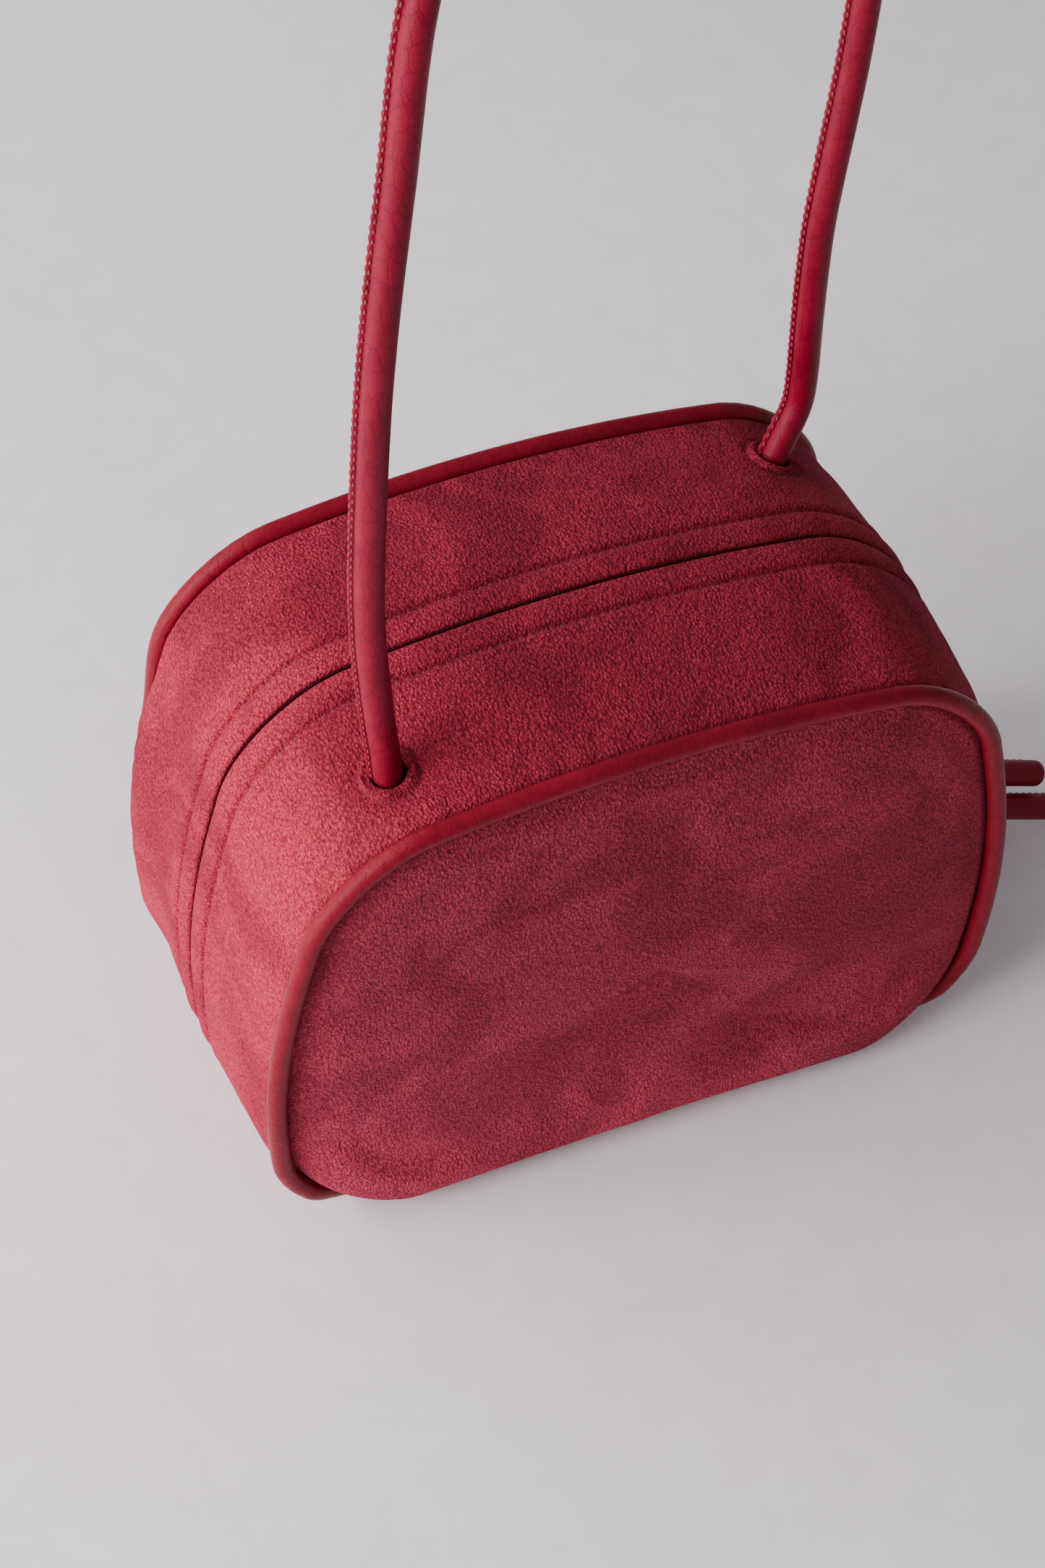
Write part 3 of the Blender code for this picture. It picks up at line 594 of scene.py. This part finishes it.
# ---------------------------------------------------------------- suede band
def band_profile(side):
    """Across one gusset half: (y, relief) from under the folded lip to under the piping."""
    lip = 0.0003 if side > 0 else 0.0
    turn = [
        (0.0046, -0.0023), (0.0026, -0.0023), (0.0014, -0.0021), (0.0009, -0.0017), (0.0007, -0.0012),
        (0.00075, -0.0007), (0.0011, -0.0003), (0.0016, -0.0001), (0.0022, 0.0),
    ]
    rows = [(y, relief + lip) for y, relief in turn]
    fine = np.concatenate([
        np.linspace(0.0029, 0.0095, 8), np.linspace(0.0100, 0.0122, 9), np.linspace(0.0130, 0.0555, 33),
    ])
    rows += [(y, lip * float(1 - smooth_step(0.003, 0.012, y))) for y in fine]
    rows += [(y, -drop) for y, drop in ROUND_OVER]
    return np.array(rows)


def strap_place(along, z):
    return Vector((STRAP_X, 0.0, z)) + DIAGONAL * along


def hole_centre(end):
    """The middle of a strap hole on the suede, and the direction of the strap root through it."""
    low = strap_place(end * HOLE_AT.length, HOLE_Z)
    direction = strap_place(*STRAP_ROUTE[0 if end < 0 else -1]) - low
    return np.array(low), np.array(direction.normalized())


def band_surface(s, y, relief):
    """Points of the band's outer face at lengths s and depths y, with its seams and soft dents."""
    s, y = np.meshgrid(s, y, indexing="ij")
    x, z, nx, nz = OUT.frame_at(s)
    depth = np.abs(y)
    offset = crown_at(y) + relief[None, :]
    rest = np.stack([x + nx * offset, y, z + nz * offset], -1)
    free = smooth_step(0.012, 0.022, depth) * (1 - smooth_step(0.046, 0.057, depth))
    offset = offset + free * BROAD_DENT * soft_noise(rest, 0.050, 1)
    free = smooth_step(0.012, 0.02, depth) * (1 - smooth_step(0.052, 0.057, depth))
    offset = offset + free * SMALL_DENT * soft_noise(rest, 0.013, 2)
    offset = offset + LIP_PUFF * bell(depth - 0.0060, 0.0032) + GROOVE_PUFF * bell(depth - 0.0140, 0.0020)
    swell = smooth_step(0.026, 0.052, y) * (1 - smooth_step(0.0555, 0.0587, y))
    at_side = smooth_step(0.095, 0.110, np.abs(x)) * smooth_step(0.135, 0.105, z)
    offset = offset + BACK_PUFF * swell * at_side
    pucker = 0.5 + 0.5 * np.cos(2 * math.pi * s / STITCH_PITCH)
    offset = offset - bell(depth - STITCH_Y, GROOVE_WIDTH) * (GROOVE + PUCKER * pucker)
    ripple = 0.00016 * np.cos(2 * math.pi * s / 0.0105 + 2.0 * soft_noise(rest, 0.03, 3))
    offset = offset + ripple * bell(depth - 0.0545, 0.003)
    for end in (-1, 1):
        centre, direction = hole_centre(end)
        away = rest - centre
        away = away - direction * (away @ direction)[..., None]
        radius = np.linalg.norm(away, axis=-1)
        near = np.where(np.sign(y) == end, 1.0, 0.0)
        offset = offset + near * RING_RIM * bell(radius - 0.0074, 0.0010)
        offset = offset - near * RING_GROOVE * bell(radius - HOLE_RING_R, 0.0008)
        offset = offset - near * HOLE_DIP * bell(radius - 0.0100, 0.0055)
        offset = offset - near * HOLE_DIP * (1 - smooth_step(0.0055, 0.0068, radius))
    return settled(np.stack([x + nx * offset, y, z + nz * offset], -1))


def cut_hole(obj, end):
    """Cuts the round strap hole through a gusset skin."""
    centre, direction = hole_centre(end)
    bm = bmesh.new()
    size = {"radius1": STRAP_HOLE_R, "radius2": STRAP_HOLE_R, "depth": 0.03}
    bmesh.ops.create_cone(bm, cap_ends=True, segments=56, **size)
    turn = Vector(direction).to_track_quat("Z", "Y").to_matrix().to_4x4()
    bmesh.ops.transform(bm, matrix=Matrix.Translation(centre) @ turn, verts=bm.verts)
    mesh = bpy.data.meshes.new("cutter")
    bm.to_mesh(mesh)
    bm.free()
    cutter = bpy.data.objects.new("cutter", mesh)
    bpy.context.scene.collection.objects.link(cutter)
    cut = obj.modifiers.new("hole", "BOOLEAN")
    cut.operation = "DIFFERENCE"
    cut.object = cutter
    apply_modifiers(obj)
    bpy.data.objects.remove(cutter, do_unlink=True)


def apply_modifiers(obj):
    graph = bpy.context.evaluated_depsgraph_get()
    mesh = bpy.data.meshes.new_from_object(obj.evaluated_get(graph))
    obj.modifiers.clear()
    obj.data = mesh


def add_band():
    spacing = 0.00125
    start, end = SEAM_S + SEAM_GAP, OUT.length - SEAM_S - SEAM_GAP
    s = np.linspace(start, end, round((end - start) / spacing))
    for name, side in (("front", -1), ("back", 1)):
        profile = band_profile(side)
        y = side * profile[:, 0]
        outer = band_surface(s, y, profile[:, 1])
        _, _, nx, nz = OUT.frame_at(s)
        normal = np.stack([nx, 0 * nx, nz], -1)[:, None]
        for k, drop in enumerate(TURNED_EDGE):
            outer[k] -= normal[k] * drop
            outer[-1 - k] -= normal[-1 - k] * drop
        inner = outer - normal * SKIN
        inner[..., 1] += side * 0.0004 * bell(profile[:, 0] - 0.0008, 0.0012)
        skin = shell(f"{name}_gusset_suede", outer, inner)
        cut_hole(skin, side)
        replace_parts(dress(skin, SUEDE_BAND, "bag"), f"{name}_gusset")
        add_topstitching(name, side)
        add_hole_edge(name, side)


def add_topstitching(name, side):
    start, end = SEAM_S + STITCH_INSET, OUT.length - SEAM_S - STITCH_INSET
    s = np.arange(start, end, STITCH_PITCH)
    y = np.array([side * STITCH_Y])
    places = band_surface(s, y, np.zeros(1))[:, 0]
    _, _, nx, nz = OUT.frame_at(s)
    up = np.stack([nx, 0 * nx, nz], -1)
    along = np.stack([-nz, 0 * nx, nx], -1)
    sewn = stitches(f"{name}_topstitching", places - up * STITCH_SINK, along, up, STITCH)
    dress(sewn, TOP_THREAD, "bag")


def ring_on_band(end, radius, count):
    """Points round a strap hole on the suede, with the direction round and the surface's normal."""
    centre, direction = hole_centre(end)
    a = np.cross(direction, [0.0, 1.0, 0.0])
    a /= np.linalg.norm(a)
    b = np.cross(direction, a)
    half, reach = OUT.length / 2, 0.17
    s_line = np.linspace(half - reach, half + reach, 3000)
    x_line, z_line, nx_line, nz_line = OUT.frame_at(s_line)
    places, ups, rounds = [], [], []
    for k in range(count):
        angle = 2 * math.pi * k / count
        spoke = a * math.cos(angle) + b * math.sin(angle)
        start = centre + spoke * radius
        crown = crown_at(start[1])
        px, pz = x_line + nx_line * crown, z_line + nz_line * crown
        gap = np.abs((px - start[0]) * direction[2] - (pz - start[2]) * direction[0])
        i = int(np.argmin(gap + 10 * (pz < 0.12)))
        point = band_surface(s_line[i : i + 1], start[1:2], np.zeros(1))[0, 0]
        places.append(point)
        ups.append([nx_line[i], 0, nz_line[i]])
        rounds.append(-a * math.sin(angle) + b * math.cos(angle))
    return np.array(places), np.array(rounds), np.array(ups)


def add_hole_edge(name, side):
    """The stitched ring, and the soft rolled suede edge of the hole."""
    places, rounds, ups = ring_on_band(side, HOLE_RING_R, 20)
    sewn = stitches(f"{name}_hole_stitching", places + ups * 0.0001, rounds, ups, RING_STITCH)
    dress(sewn, TOP_THREAD, "bag")
    places, rounds, ups = ring_on_band(side, STRAP_HOLE_R + 0.00035, 64)
    verts = []
    for place, tangent, up in zip(places, rounds, ups):
        up = up - tangent * up.dot(tangent)
        up /= np.linalg.norm(up)
        out = np.cross(tangent, up)
        verts += [place - up * 0.0003 + out * c + up * d for c, d in circle(HOLE_EDGE_R, 10)]
    edge = new_mesh(f"{name}_hole_edge", verts, grid_faces(len(places), 10, True, True))
    face_outwards(edge)
    dress(edge, SUEDE_BAND, "bag")


def add_base():
    spacing = 0.0015
    first, last = OUT.length - SEAM_S + SEAM_GAP, OUT.length + SEAM_S - SEAM_GAP
    s = np.linspace(first, last, round(2 * SEAM_S / spacing))
    round_over = np.array(ROUND_OVER)
    flat = round_over[0, 0]
    y = np.concatenate([-round_over[:0:-1, 0], np.linspace(-flat, flat, 61), round_over[1:, 0]])
    edge = np.interp(np.abs(y), *round_over.T)
    grid_s, grid_y = np.meshgrid(s, y, indexing="ij")
    x, z, nx, nz = OUT.frame_at(grid_s)
    blend = smooth_step(0.004, SEAM_Z, z)
    offset = OUTLINE_Z * (1 - blend) + crown_at(grid_y) * blend - edge[None, :]
    rest = np.stack([x, grid_y, z], -1)
    hollow = smooth_step(0.012, 0.05, round_over[-1, 0] - np.abs(grid_y)) * (1 - blend)
    offset = offset - BASE_HOLLOW * hollow * (1 + soft_noise(rest, 0.03, 4))
    outer = np.stack([x + nx * offset, grid_y, z + nz * offset], -1)
    normal = np.stack([nx, 0 * nx, nz], -1)
    for k, drop in enumerate(TURNED_EDGE):
        outer[k] -= normal[k] * drop
        outer[-1 - k] -= normal[-1 - k] * drop
    outer = settled(outer)
    outer[..., 2] = np.maximum(outer[..., 2], 0.0)
    base = shell("base_suede", outer, outer - normal * SKIN)
    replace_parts(dress(base, SUEDE_BAND, "bag"), "base_panel")
    for name, place in (("right", SEAM_S - BASE_STITCH_S), ("left", OUT.length - SEAM_S + BASE_STITCH_S)):
        places, ups, alongs = [], [], []
        for y0 in np.arange(-0.054, 0.0541, STITCH_PITCH):
            px, pz, mx, mz = OUT.frame_at(place)
            share = float(smooth_step(0.004, SEAM_Z, pz))
            reach = OUTLINE_Z * (1 - share) + crown_at(y0) * share + 0.0001
            places.append([px + mx * reach, y0, pz + mz * reach])
            ups.append([mx, 0, mz])
            alongs.append([0, 1, 0])
        sewn = stitches(f"{name}_base_stitching", places, alongs, ups, STITCH)
        dress(sewn, TOP_THREAD, "bag")


# ---------------------------------------------------------------- panels
def panel_points(side, level, spokes):
    """The suede face of the bag: tucked in at the piping, padded, and rolling out over the bottom edge."""
    s = np.linspace(0, OUT.length, spokes, endpoint=False)
    x, z, nx, nz = OUT.frame_at(s)
    seam = np.stack([x - nx * PANEL_TUCK, 0 * x + side * HALF_DEPTH, z - nz * PANEL_TUCK], -1)
    edge = settled(seam)
    centre = np.array([0.0, 0.0, edge[:, 2].mean()])
    level = level[:, None]
    points = centre + (edge * [1, 0, 1] - centre)[None] * level[..., None]
    inwards = np.linalg.norm(edge * [1, 0, 1] - centre, axis=-1)[None] * (1 - level)
    rise = 0.0018 * smooth_step(0.0, 0.0028, inwards) + 0.0010 * smooth_step(0.002, 0.010, inwards)
    plain = PANEL_EDGE_Y + rise + PANEL_CROWN * (1 - level**2.4)
    turn = np.clip(inwards / 0.0078, 0, 1)
    roll = 0.0560 + ROLL * np.sqrt(1 - (1 - turn) ** 2) - 0.0036 * smooth_step(0.006, 0.050, inwards)
    low = np.clip(-nz, 0, 1)[None] ** 1.6
    uneven = 1 + 0.05 * soft_noise(points, 0.035, 41 + side)
    depth = plain + (roll * uneven - plain - 0.065 * (uneven - 1)) * low
    depth = depth + smooth_step(0.003, 0.02, inwards) * 0.0007 * soft_noise(points, 0.060, 5 + side)
    points[..., 1] = side * depth
    points[..., 2] -= low * 0.0028 * np.sin(math.pi * np.clip(inwards / 0.0125, 0, 1))
    return points


def padding_swell(side, level, spokes, cap):
    """How cloth of the panel's shape moves when the padding pushes it out, held along its seam."""
    coarse = np.linspace(1.0, 0.05, CLOTH_RINGS)
    before = panel_points(side, coarse, CLOTH_SPOKES)
    rows, columns = before.shape[:2]
    faces = grid_faces(rows, columns, wrap_columns=True) + [list(range((rows - 1) * columns, rows * columns))]
    sheet = new_mesh("padding_cloth", before.reshape(-1, 3), faces)
    if sheet.data.polygons[0].normal.y * side < 0:
        sheet.data.flip_normals()
    held = sheet.vertex_groups.new(name="held")
    held.add(list(range(2 * columns)), 1.0, "REPLACE")
    cloth = sheet.modifiers.new("padding", "CLOTH")
    cloth.settings.quality = 4
    cloth.settings.mass = 0.3
    cloth.settings.tension_stiffness = cloth.settings.compression_stiffness = 8
    cloth.settings.bending_stiffness = 0.3
    cloth.settings.vertex_group_mass = "held"
    cloth.settings.shrink_min = -0.025
    cloth.settings.use_pressure = True
    cloth.settings.uniform_pressure_force = 1.2
    cloth.settings.effector_weights.gravity = 0
    cloth.collision_settings.use_collision = False
    for step in range(1, CLOTH_STEPS + 1):
        bpy.context.scene.frame_set(step)
    apply_modifiers(sheet)
    bpy.context.scene.frame_set(1)
    move = np.array([v.co for v in sheet.data.vertices]).reshape(before.shape) - before
    bpy.data.objects.remove(sheet, do_unlink=True)
    swell = cap * np.tanh(move[..., 1] * side / cap)
    swell = (swell + np.hypot(swell, SWELL_EASE)) / 2
    hub = smooth_step(0.45, 0.12, coarse)[:, None]
    swell = swell * (1 - hub) + swell[coarse < 0.5].mean() * hub
    move = np.stack([0 * swell, swell * side, 0 * swell], -1)
    turn = np.arange(spokes) * columns / spokes
    place = np.interp(-level, -coarse, np.arange(rows))
    return eased(eased(move, turn, 1, True), place, 0, False)


def eased(values, places, axis, loop):
    """Values read between the grid lines of one axis, with smooth slopes."""
    count = values.shape[axis]
    first = np.floor(places).astype(int)
    t = (places - first).reshape([-1 if i == axis else 1 for i in range(3)])
    picked = []
    for k in (-1, 0, 1, 2):
        index = (first + k) % count if loop else np.clip(first + k, 0, count - 1)
        picked.append(np.take(values, index, axis))
    return between(*picked, t)


def add_panels():
    rings, spokes = ((72, 620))
    near_seam = [1.0, 0.996, 0.991, 0.985, 0.978, 0.970]
    level = np.concatenate([near_seam, np.linspace(0.961, 0.02, rings)])
    for name, side in (("front", -1), ("back", 1)):
        points = panel_points(side, level, spokes)
        points = points + padding_swell(side, level, spokes, PADDING_SWELL)
        rows, columns = points.shape[:2]
        faces = grid_faces(rows, columns, wrap_columns=True)
        faces.append(list(range((rows - 1) * columns, rows * columns)))
        panel = new_mesh(f"{name}_panel_suede", points.reshape(-1, 3), faces)
        face_outwards(panel)
        if panel.data.polygons[0].normal.y * side < 0:
            panel.data.flip_normals()
        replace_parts(dress(panel, SUEDE_PANEL, "bag"), f"{name}_panel")
        add_foam(name, side, points[level < FOAM_LEVEL])


def add_foam(name, side, under):
    """The foam pad behind the suede: it follows the skin a little inside it, and is flat at the back."""
    outer = under - np.array([0, side * FOAM_DEPTH, 0])
    inner = outer.copy()
    inner[..., 1] = side * FOAM_BACK_Y
    rows, columns = outer.shape[:2]
    count = rows * columns
    rim = [[k, (k + 1) % columns, count + (k + 1) % columns, count + k] for k in range(columns)]
    last = list(range((rows - 1) * columns, count))
    faces = grid_faces(rows, columns, wrap_columns=True) + rim + [last]
    faces += [f[::-1] for f in grid_faces(rows, columns, wrap_columns=True, first=count)]
    faces.append([k + count for k in last][::-1])
    foam = new_mesh(f"{name}_foam_pad", np.concatenate([outer.reshape(-1, 3), inner.reshape(-1, 3)]), faces)
    face_outwards(foam)
    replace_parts(dress(foam, FOAM, "bag"), f"{name}_foam")


def add_piping():
    """Leather piping with a slightly uneven roll, creased where it turns the corners."""
    count = 900
    s = np.linspace(0, OUT.length, count, endpoint=False)
    x, z, nx, nz = OUT.frame_at(s)
    turning = np.abs(np.gradient(np.unwrap(np.arctan2(nz, nx)))) / (OUT.length / count)
    bend = np.clip(turning / 35, 0, 1)
    for name, y in (("front", -HALF_DEPTH), ("back", HALF_DEPTH)):
        route = np.stack([x, 0 * x + y, z], -1)
        swell = 1 + 0.018 * soft_noise(route, 0.02, 11)
        crease = np.cos(2 * math.pi * s / 0.0062 + 2 * soft_noise(route, 0.02, 12))
        swell -= 0.03 * bend * np.clip(crease, 0, 1) ** 3
        section = circle(PIPING_R, 20)[None] * swell[:, None, None]
        out = np.stack([nx, 0 * nx, nz], -1)
        piping = loop_round(f"{name}_piping_leather", settled(route), out, section)
        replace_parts(dress(piping, LEATHER, "bag"), f"{name}_piping")
        turns = np.linspace(0, 2 * math.pi, 13)[:-1]
        lobes = 1 + 0.10 * np.cos(3 * (turns[None] - (s / 0.004)[:, None]))
        twisted = np.stack([np.cos(turns) * lobes, np.sin(turns) * lobes], -1) * CORD_R
        cord = loop_round(f"{name}_piping_cord", settled(route), out, twisted)
        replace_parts(dress(cord, ROPE, "bag"), f"{name}_piping_core")


def loop_round(name, route, out, section):
    """A closed tube round the outline, from a section for each point."""
    verts = route[:, None] + out[:, None] * section[..., :1] + np.array([0, 1, 0]) * section[..., 1:]
    rows, columns = verts.shape[:2]
    tube = new_mesh(name, verts.reshape(-1, 3), grid_faces(rows, columns, True, True))
    face_outwards(tube)
    return tube


# ---------------------------------------------------------------- strap and pull
def strap_line():
    """The strap's whole line: up out of the front root, over the arch, and down the back root."""
    ends = []
    for end in (-1, 1):
        pivot = strap_place(*STRAP_ROUTE[0 if end < 0 else -1])
        direction = Vector(hole_centre(end)[1])
        ends.append([pivot - direction * 0.026, pivot - direction * 0.013])
    knots = ends[0] + [strap_place(u, z) for u, z in STRAP_ROUTE] + ends[1][::-1]
    return evenly(smooth_route(knots, 0.004), 0.0022)


def rolled_leather(name, line, lean, radius, stop=0.0):
    """Leather rolled round a cord: a tube, its stitched seam edge along one side, and the stitches."""
    step = float(np.linalg.norm(line[1] - line[0]))
    swell = 1 + 0.014 * soft_noise(line, 0.03, 21) + 0.006 * soft_noise(line, 0.008, 22)
    inset = np.minimum(np.arange(len(line)), np.arange(len(line))[::-1]) * step
    ends = np.sqrt(np.clip(1 - (1 - np.clip(inset / max(stop, 1e-6), 0, 1)) ** 2, 0.03, 1)) if stop else 1
    section = circle(radius, 30)[None] * (swell * ends)[:, None, None]
    pieces = [sweep(f"{name}_tube", line, lean, section)]
    spacing = 0.0006
    fine = evenly(line, spacing)
    run = np.arange(len(fine)) * spacing
    start = radius - SEAM_SUNK
    wave = 0.00016 * np.cos(2 * math.pi * run / SEAM_PITCH) + 0.00008 * soft_noise(fine, 0.004, 23)
    fade = smooth_step(0.0, 0.004, np.minimum(run, run[::-1])) if stop else 1
    top = start + (SEAM_EDGE + SEAM_SUNK + wave) * fade
    half = SEAM_HALF_WIDTH + 0.00012 * np.cos(2 * math.pi * run / SEAM_PITCH)
    outline = (
        (start, -1.0),
        (start + SEAM_SUNK, -0.80),
        (top - 0.0005, -0.95),
        (top - 0.0001, -0.75),
        (top - 0.00006, -0.30),
        (top - 0.0003, 0.0),
        (top - 0.00006, 0.30),
        (top - 0.0001, 0.75),
        (top - 0.0005, 0.95),
        (start + SEAM_SUNK, 0.80),
        (start, 1.0),
    )
    shape = np.stack([np.stack([u + 0 * run, half * v], -1) for u, v in outline], 1)
    if stop:
        fine, shape = fine[6:-6], shape[6:-6]
    pieces.append(sweep(f"{name}_seam_edge", fine, lean, shape))
    sewn = evenly(line, SEAM_PITCH)[2:-2]
    tangent, side, other = route_frames(sewn, lean)
    for hand, sign in (("left", -1), ("right", 1)):
        places = sewn + side * (start + 0.00115) + other * sign * 0.00080
        pieces.append(stitches(f"{name}_{hand}_stitches", places, tangent, other * sign, SEAM_STITCH))
    return pieces


def add_strap():
    lean = np.array(ACROSS * math.cos(SEAM_LEAN) - DIAGONAL * math.sin(SEAM_LEAN))
    pieces = rolled_leather("strap", strap_line(), lean, STRAP_R)
    for piece, finish in zip(pieces, (STRAP_LEATHER, STRAP_LEATHER, THREAD, THREAD)):
        dress(piece, finish, None)
        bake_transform(piece)
    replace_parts(pieces[0], "strap_leather", "front_strap_root", "back_strap_root")


def add_pull():
    """The doubled cord, whose two tails lie side by side and have their seam edges outwards."""
    out = Vector((math.cos(PULL_DROOP), 0, -math.sin(PULL_DROOP)))
    up = Vector((math.sin(PULL_DROOP), 0, math.cos(PULL_DROOP)))
    across = Vector((0, 1, 0))

    def twisted(along):
        t = min(1.0, max(0.0, (along - RING_LENGTH) / PULL_TWIST_LENGTH))
        angle = PULL_TWIST * t * t * (3 - 2 * t)
        return (up * math.cos(angle) + across * math.sin(angle)) * PULL_BEND_R

    knots = [PULL_HINGE + out * a + twisted(a) for a in np.linspace(PULL_UPPER, RING_LENGTH, 9)]
    for k in range(1, 8):
        angle = math.pi * k / 8
        spoke = up * math.cos(angle) - out * math.sin(angle)
        knots.append(PULL_HINGE + out * RING_LENGTH + spoke * PULL_BEND_R)
    knots += [PULL_HINGE + out * a - twisted(a) for a in np.linspace(RING_LENGTH, PULL_LOWER, 11)]
    line = evenly(smooth_route(knots, 0.002), 0.0008)
    pieces = rolled_leather("pull", line, np.array(across), PULL_R, stop=0.0032)
    for piece, finish in zip(pieces, (STRAP_LEATHER, STRAP_LEATHER, THREAD, THREAD)):
        dress(piece, finish, "pull")
    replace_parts(pieces[0], "pull_cord")


# ---------------------------------------------------------------- carried CAD nodes
def dress_frame():
    finishes = {
        BACKING: ("front_strap_backing", "back_strap_backing", "front_strap_knot", "back_strap_knot"),
        LINING: (
            "front_lining", "back_lining", "front_gusset_lining", "back_gusset_lining", "base_lining",
            "slip_pocket",
        ),
        BOARD: ("front_stiffener", "back_stiffener", "base_board"),
        ROPE: ("strap_core",),
        TAPE: ("front_zip_tape", "back_zip_tape"),
        COIL: ("zip_coil",),
        BRASS: ("slider_body", "slider_under_plate", "pull_ring", "zip_closed_end_stop", "zip_open_end_stop"),
    }
    for finish, names in finishes.items():
        for name in names:
            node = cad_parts[name]
            node.data.materials.clear()
            node.data.materials.append(finish)


# ---------------------------------------------------------------- floor, light and camera
def add_stage():
    floor = new_mesh("floor", [(-9, -9, 0), (9, -9, 0), (9, 9, 0), (-9, 9, 0)], [(0, 1, 2, 3)])
    n = Nodes("pale_floor")
    cloud = n.noise(3.2, 4.0, 0.55)
    fleck = n.noise(60, 3.0, 0.6)
    shade = n.mix("MIX", n.spread(cloud, 0.35, 0.65, 0, 1), (0.890, 0.828, 0.842), (0.922, 0.882, 0.893))
    shade = n.mix("MULTIPLY", 1.0, shade, n.ramp(fleck, (0.35, 0.97), (0.65, 1.02)))
    floor.data.materials.append(n.finish(shade, 0.9, n.bump(fleck, 0.08, 0.001)))
    world = bpy.data.worlds.new("soft_room")
    world.use_nodes = True
    world.node_tree.nodes["Background"].inputs["Color"].default_value = (0.95, 0.955, 1.0, 1)
    world.node_tree.nodes["Background"].inputs["Strength"].default_value = 0.36
    bpy.context.scene.world = world
    lamps = (
        ("window", (-1.20, -0.12, 0.54), (0, 0, 0.06), 1.0, 37, (1.0, 0.945, 0.99)),
        ("back_window", (-0.95, 0.95, 0.95), (-0.2, 0.3, 0.0), 1.0, 13, (1.0, 0.985, 1.0)),
    )
    for name, place, target, size, power, colour in lamps:
        data = bpy.data.lights.new(name, "AREA")
        data.size, data.energy, data.color = size, power, colour
        lamp = bpy.data.objects.new(name, data)
        lamp.location = place
        lamp.rotation_euler = (Vector(target) - Vector(place)).to_track_quat("-Z", "Y").to_euler()
        bpy.context.scene.collection.objects.link(lamp)


def add_camera():
    """The viewpoint: from the front left, well above, with a slight roll."""
    yaw, pitch, roll, distance = math.radians(-25.7069), math.radians(50.0293), math.radians(3.6789), 1.1144
    target = Vector((-0.0065, 0.0168, 0.0768))
    back = Vector((math.sin(yaw) * math.cos(pitch), -math.cos(yaw) * math.cos(pitch), math.sin(pitch)))
    right = Vector((0, 0, 1)).cross(back).normalized()
    top = back.cross(right)
    rolled_right = right * math.cos(roll) + top * math.sin(roll)
    rolled_top = top * math.cos(roll) - right * math.sin(roll)
    data = bpy.data.cameras.new("camera")
    data.sensor_width = SENSOR
    data.lens = SENSOR * FOCAL_PX / IMAGE_HEIGHT
    data.clip_start, data.clip_end = 0.05, 20
    camera = bpy.data.objects.new("camera", data)
    camera.matrix_world = Matrix.Translation(target + back * distance) @ Matrix(
        (rolled_right, rolled_top, back)
    ).transposed().to_4x4()
    bpy.context.scene.collection.objects.link(camera)
    bpy.context.scene.camera = camera


add_camera()
add_stage()
add_band()
add_base()
add_panels()
add_piping()
add_strap()
add_pull()
dress_frame()
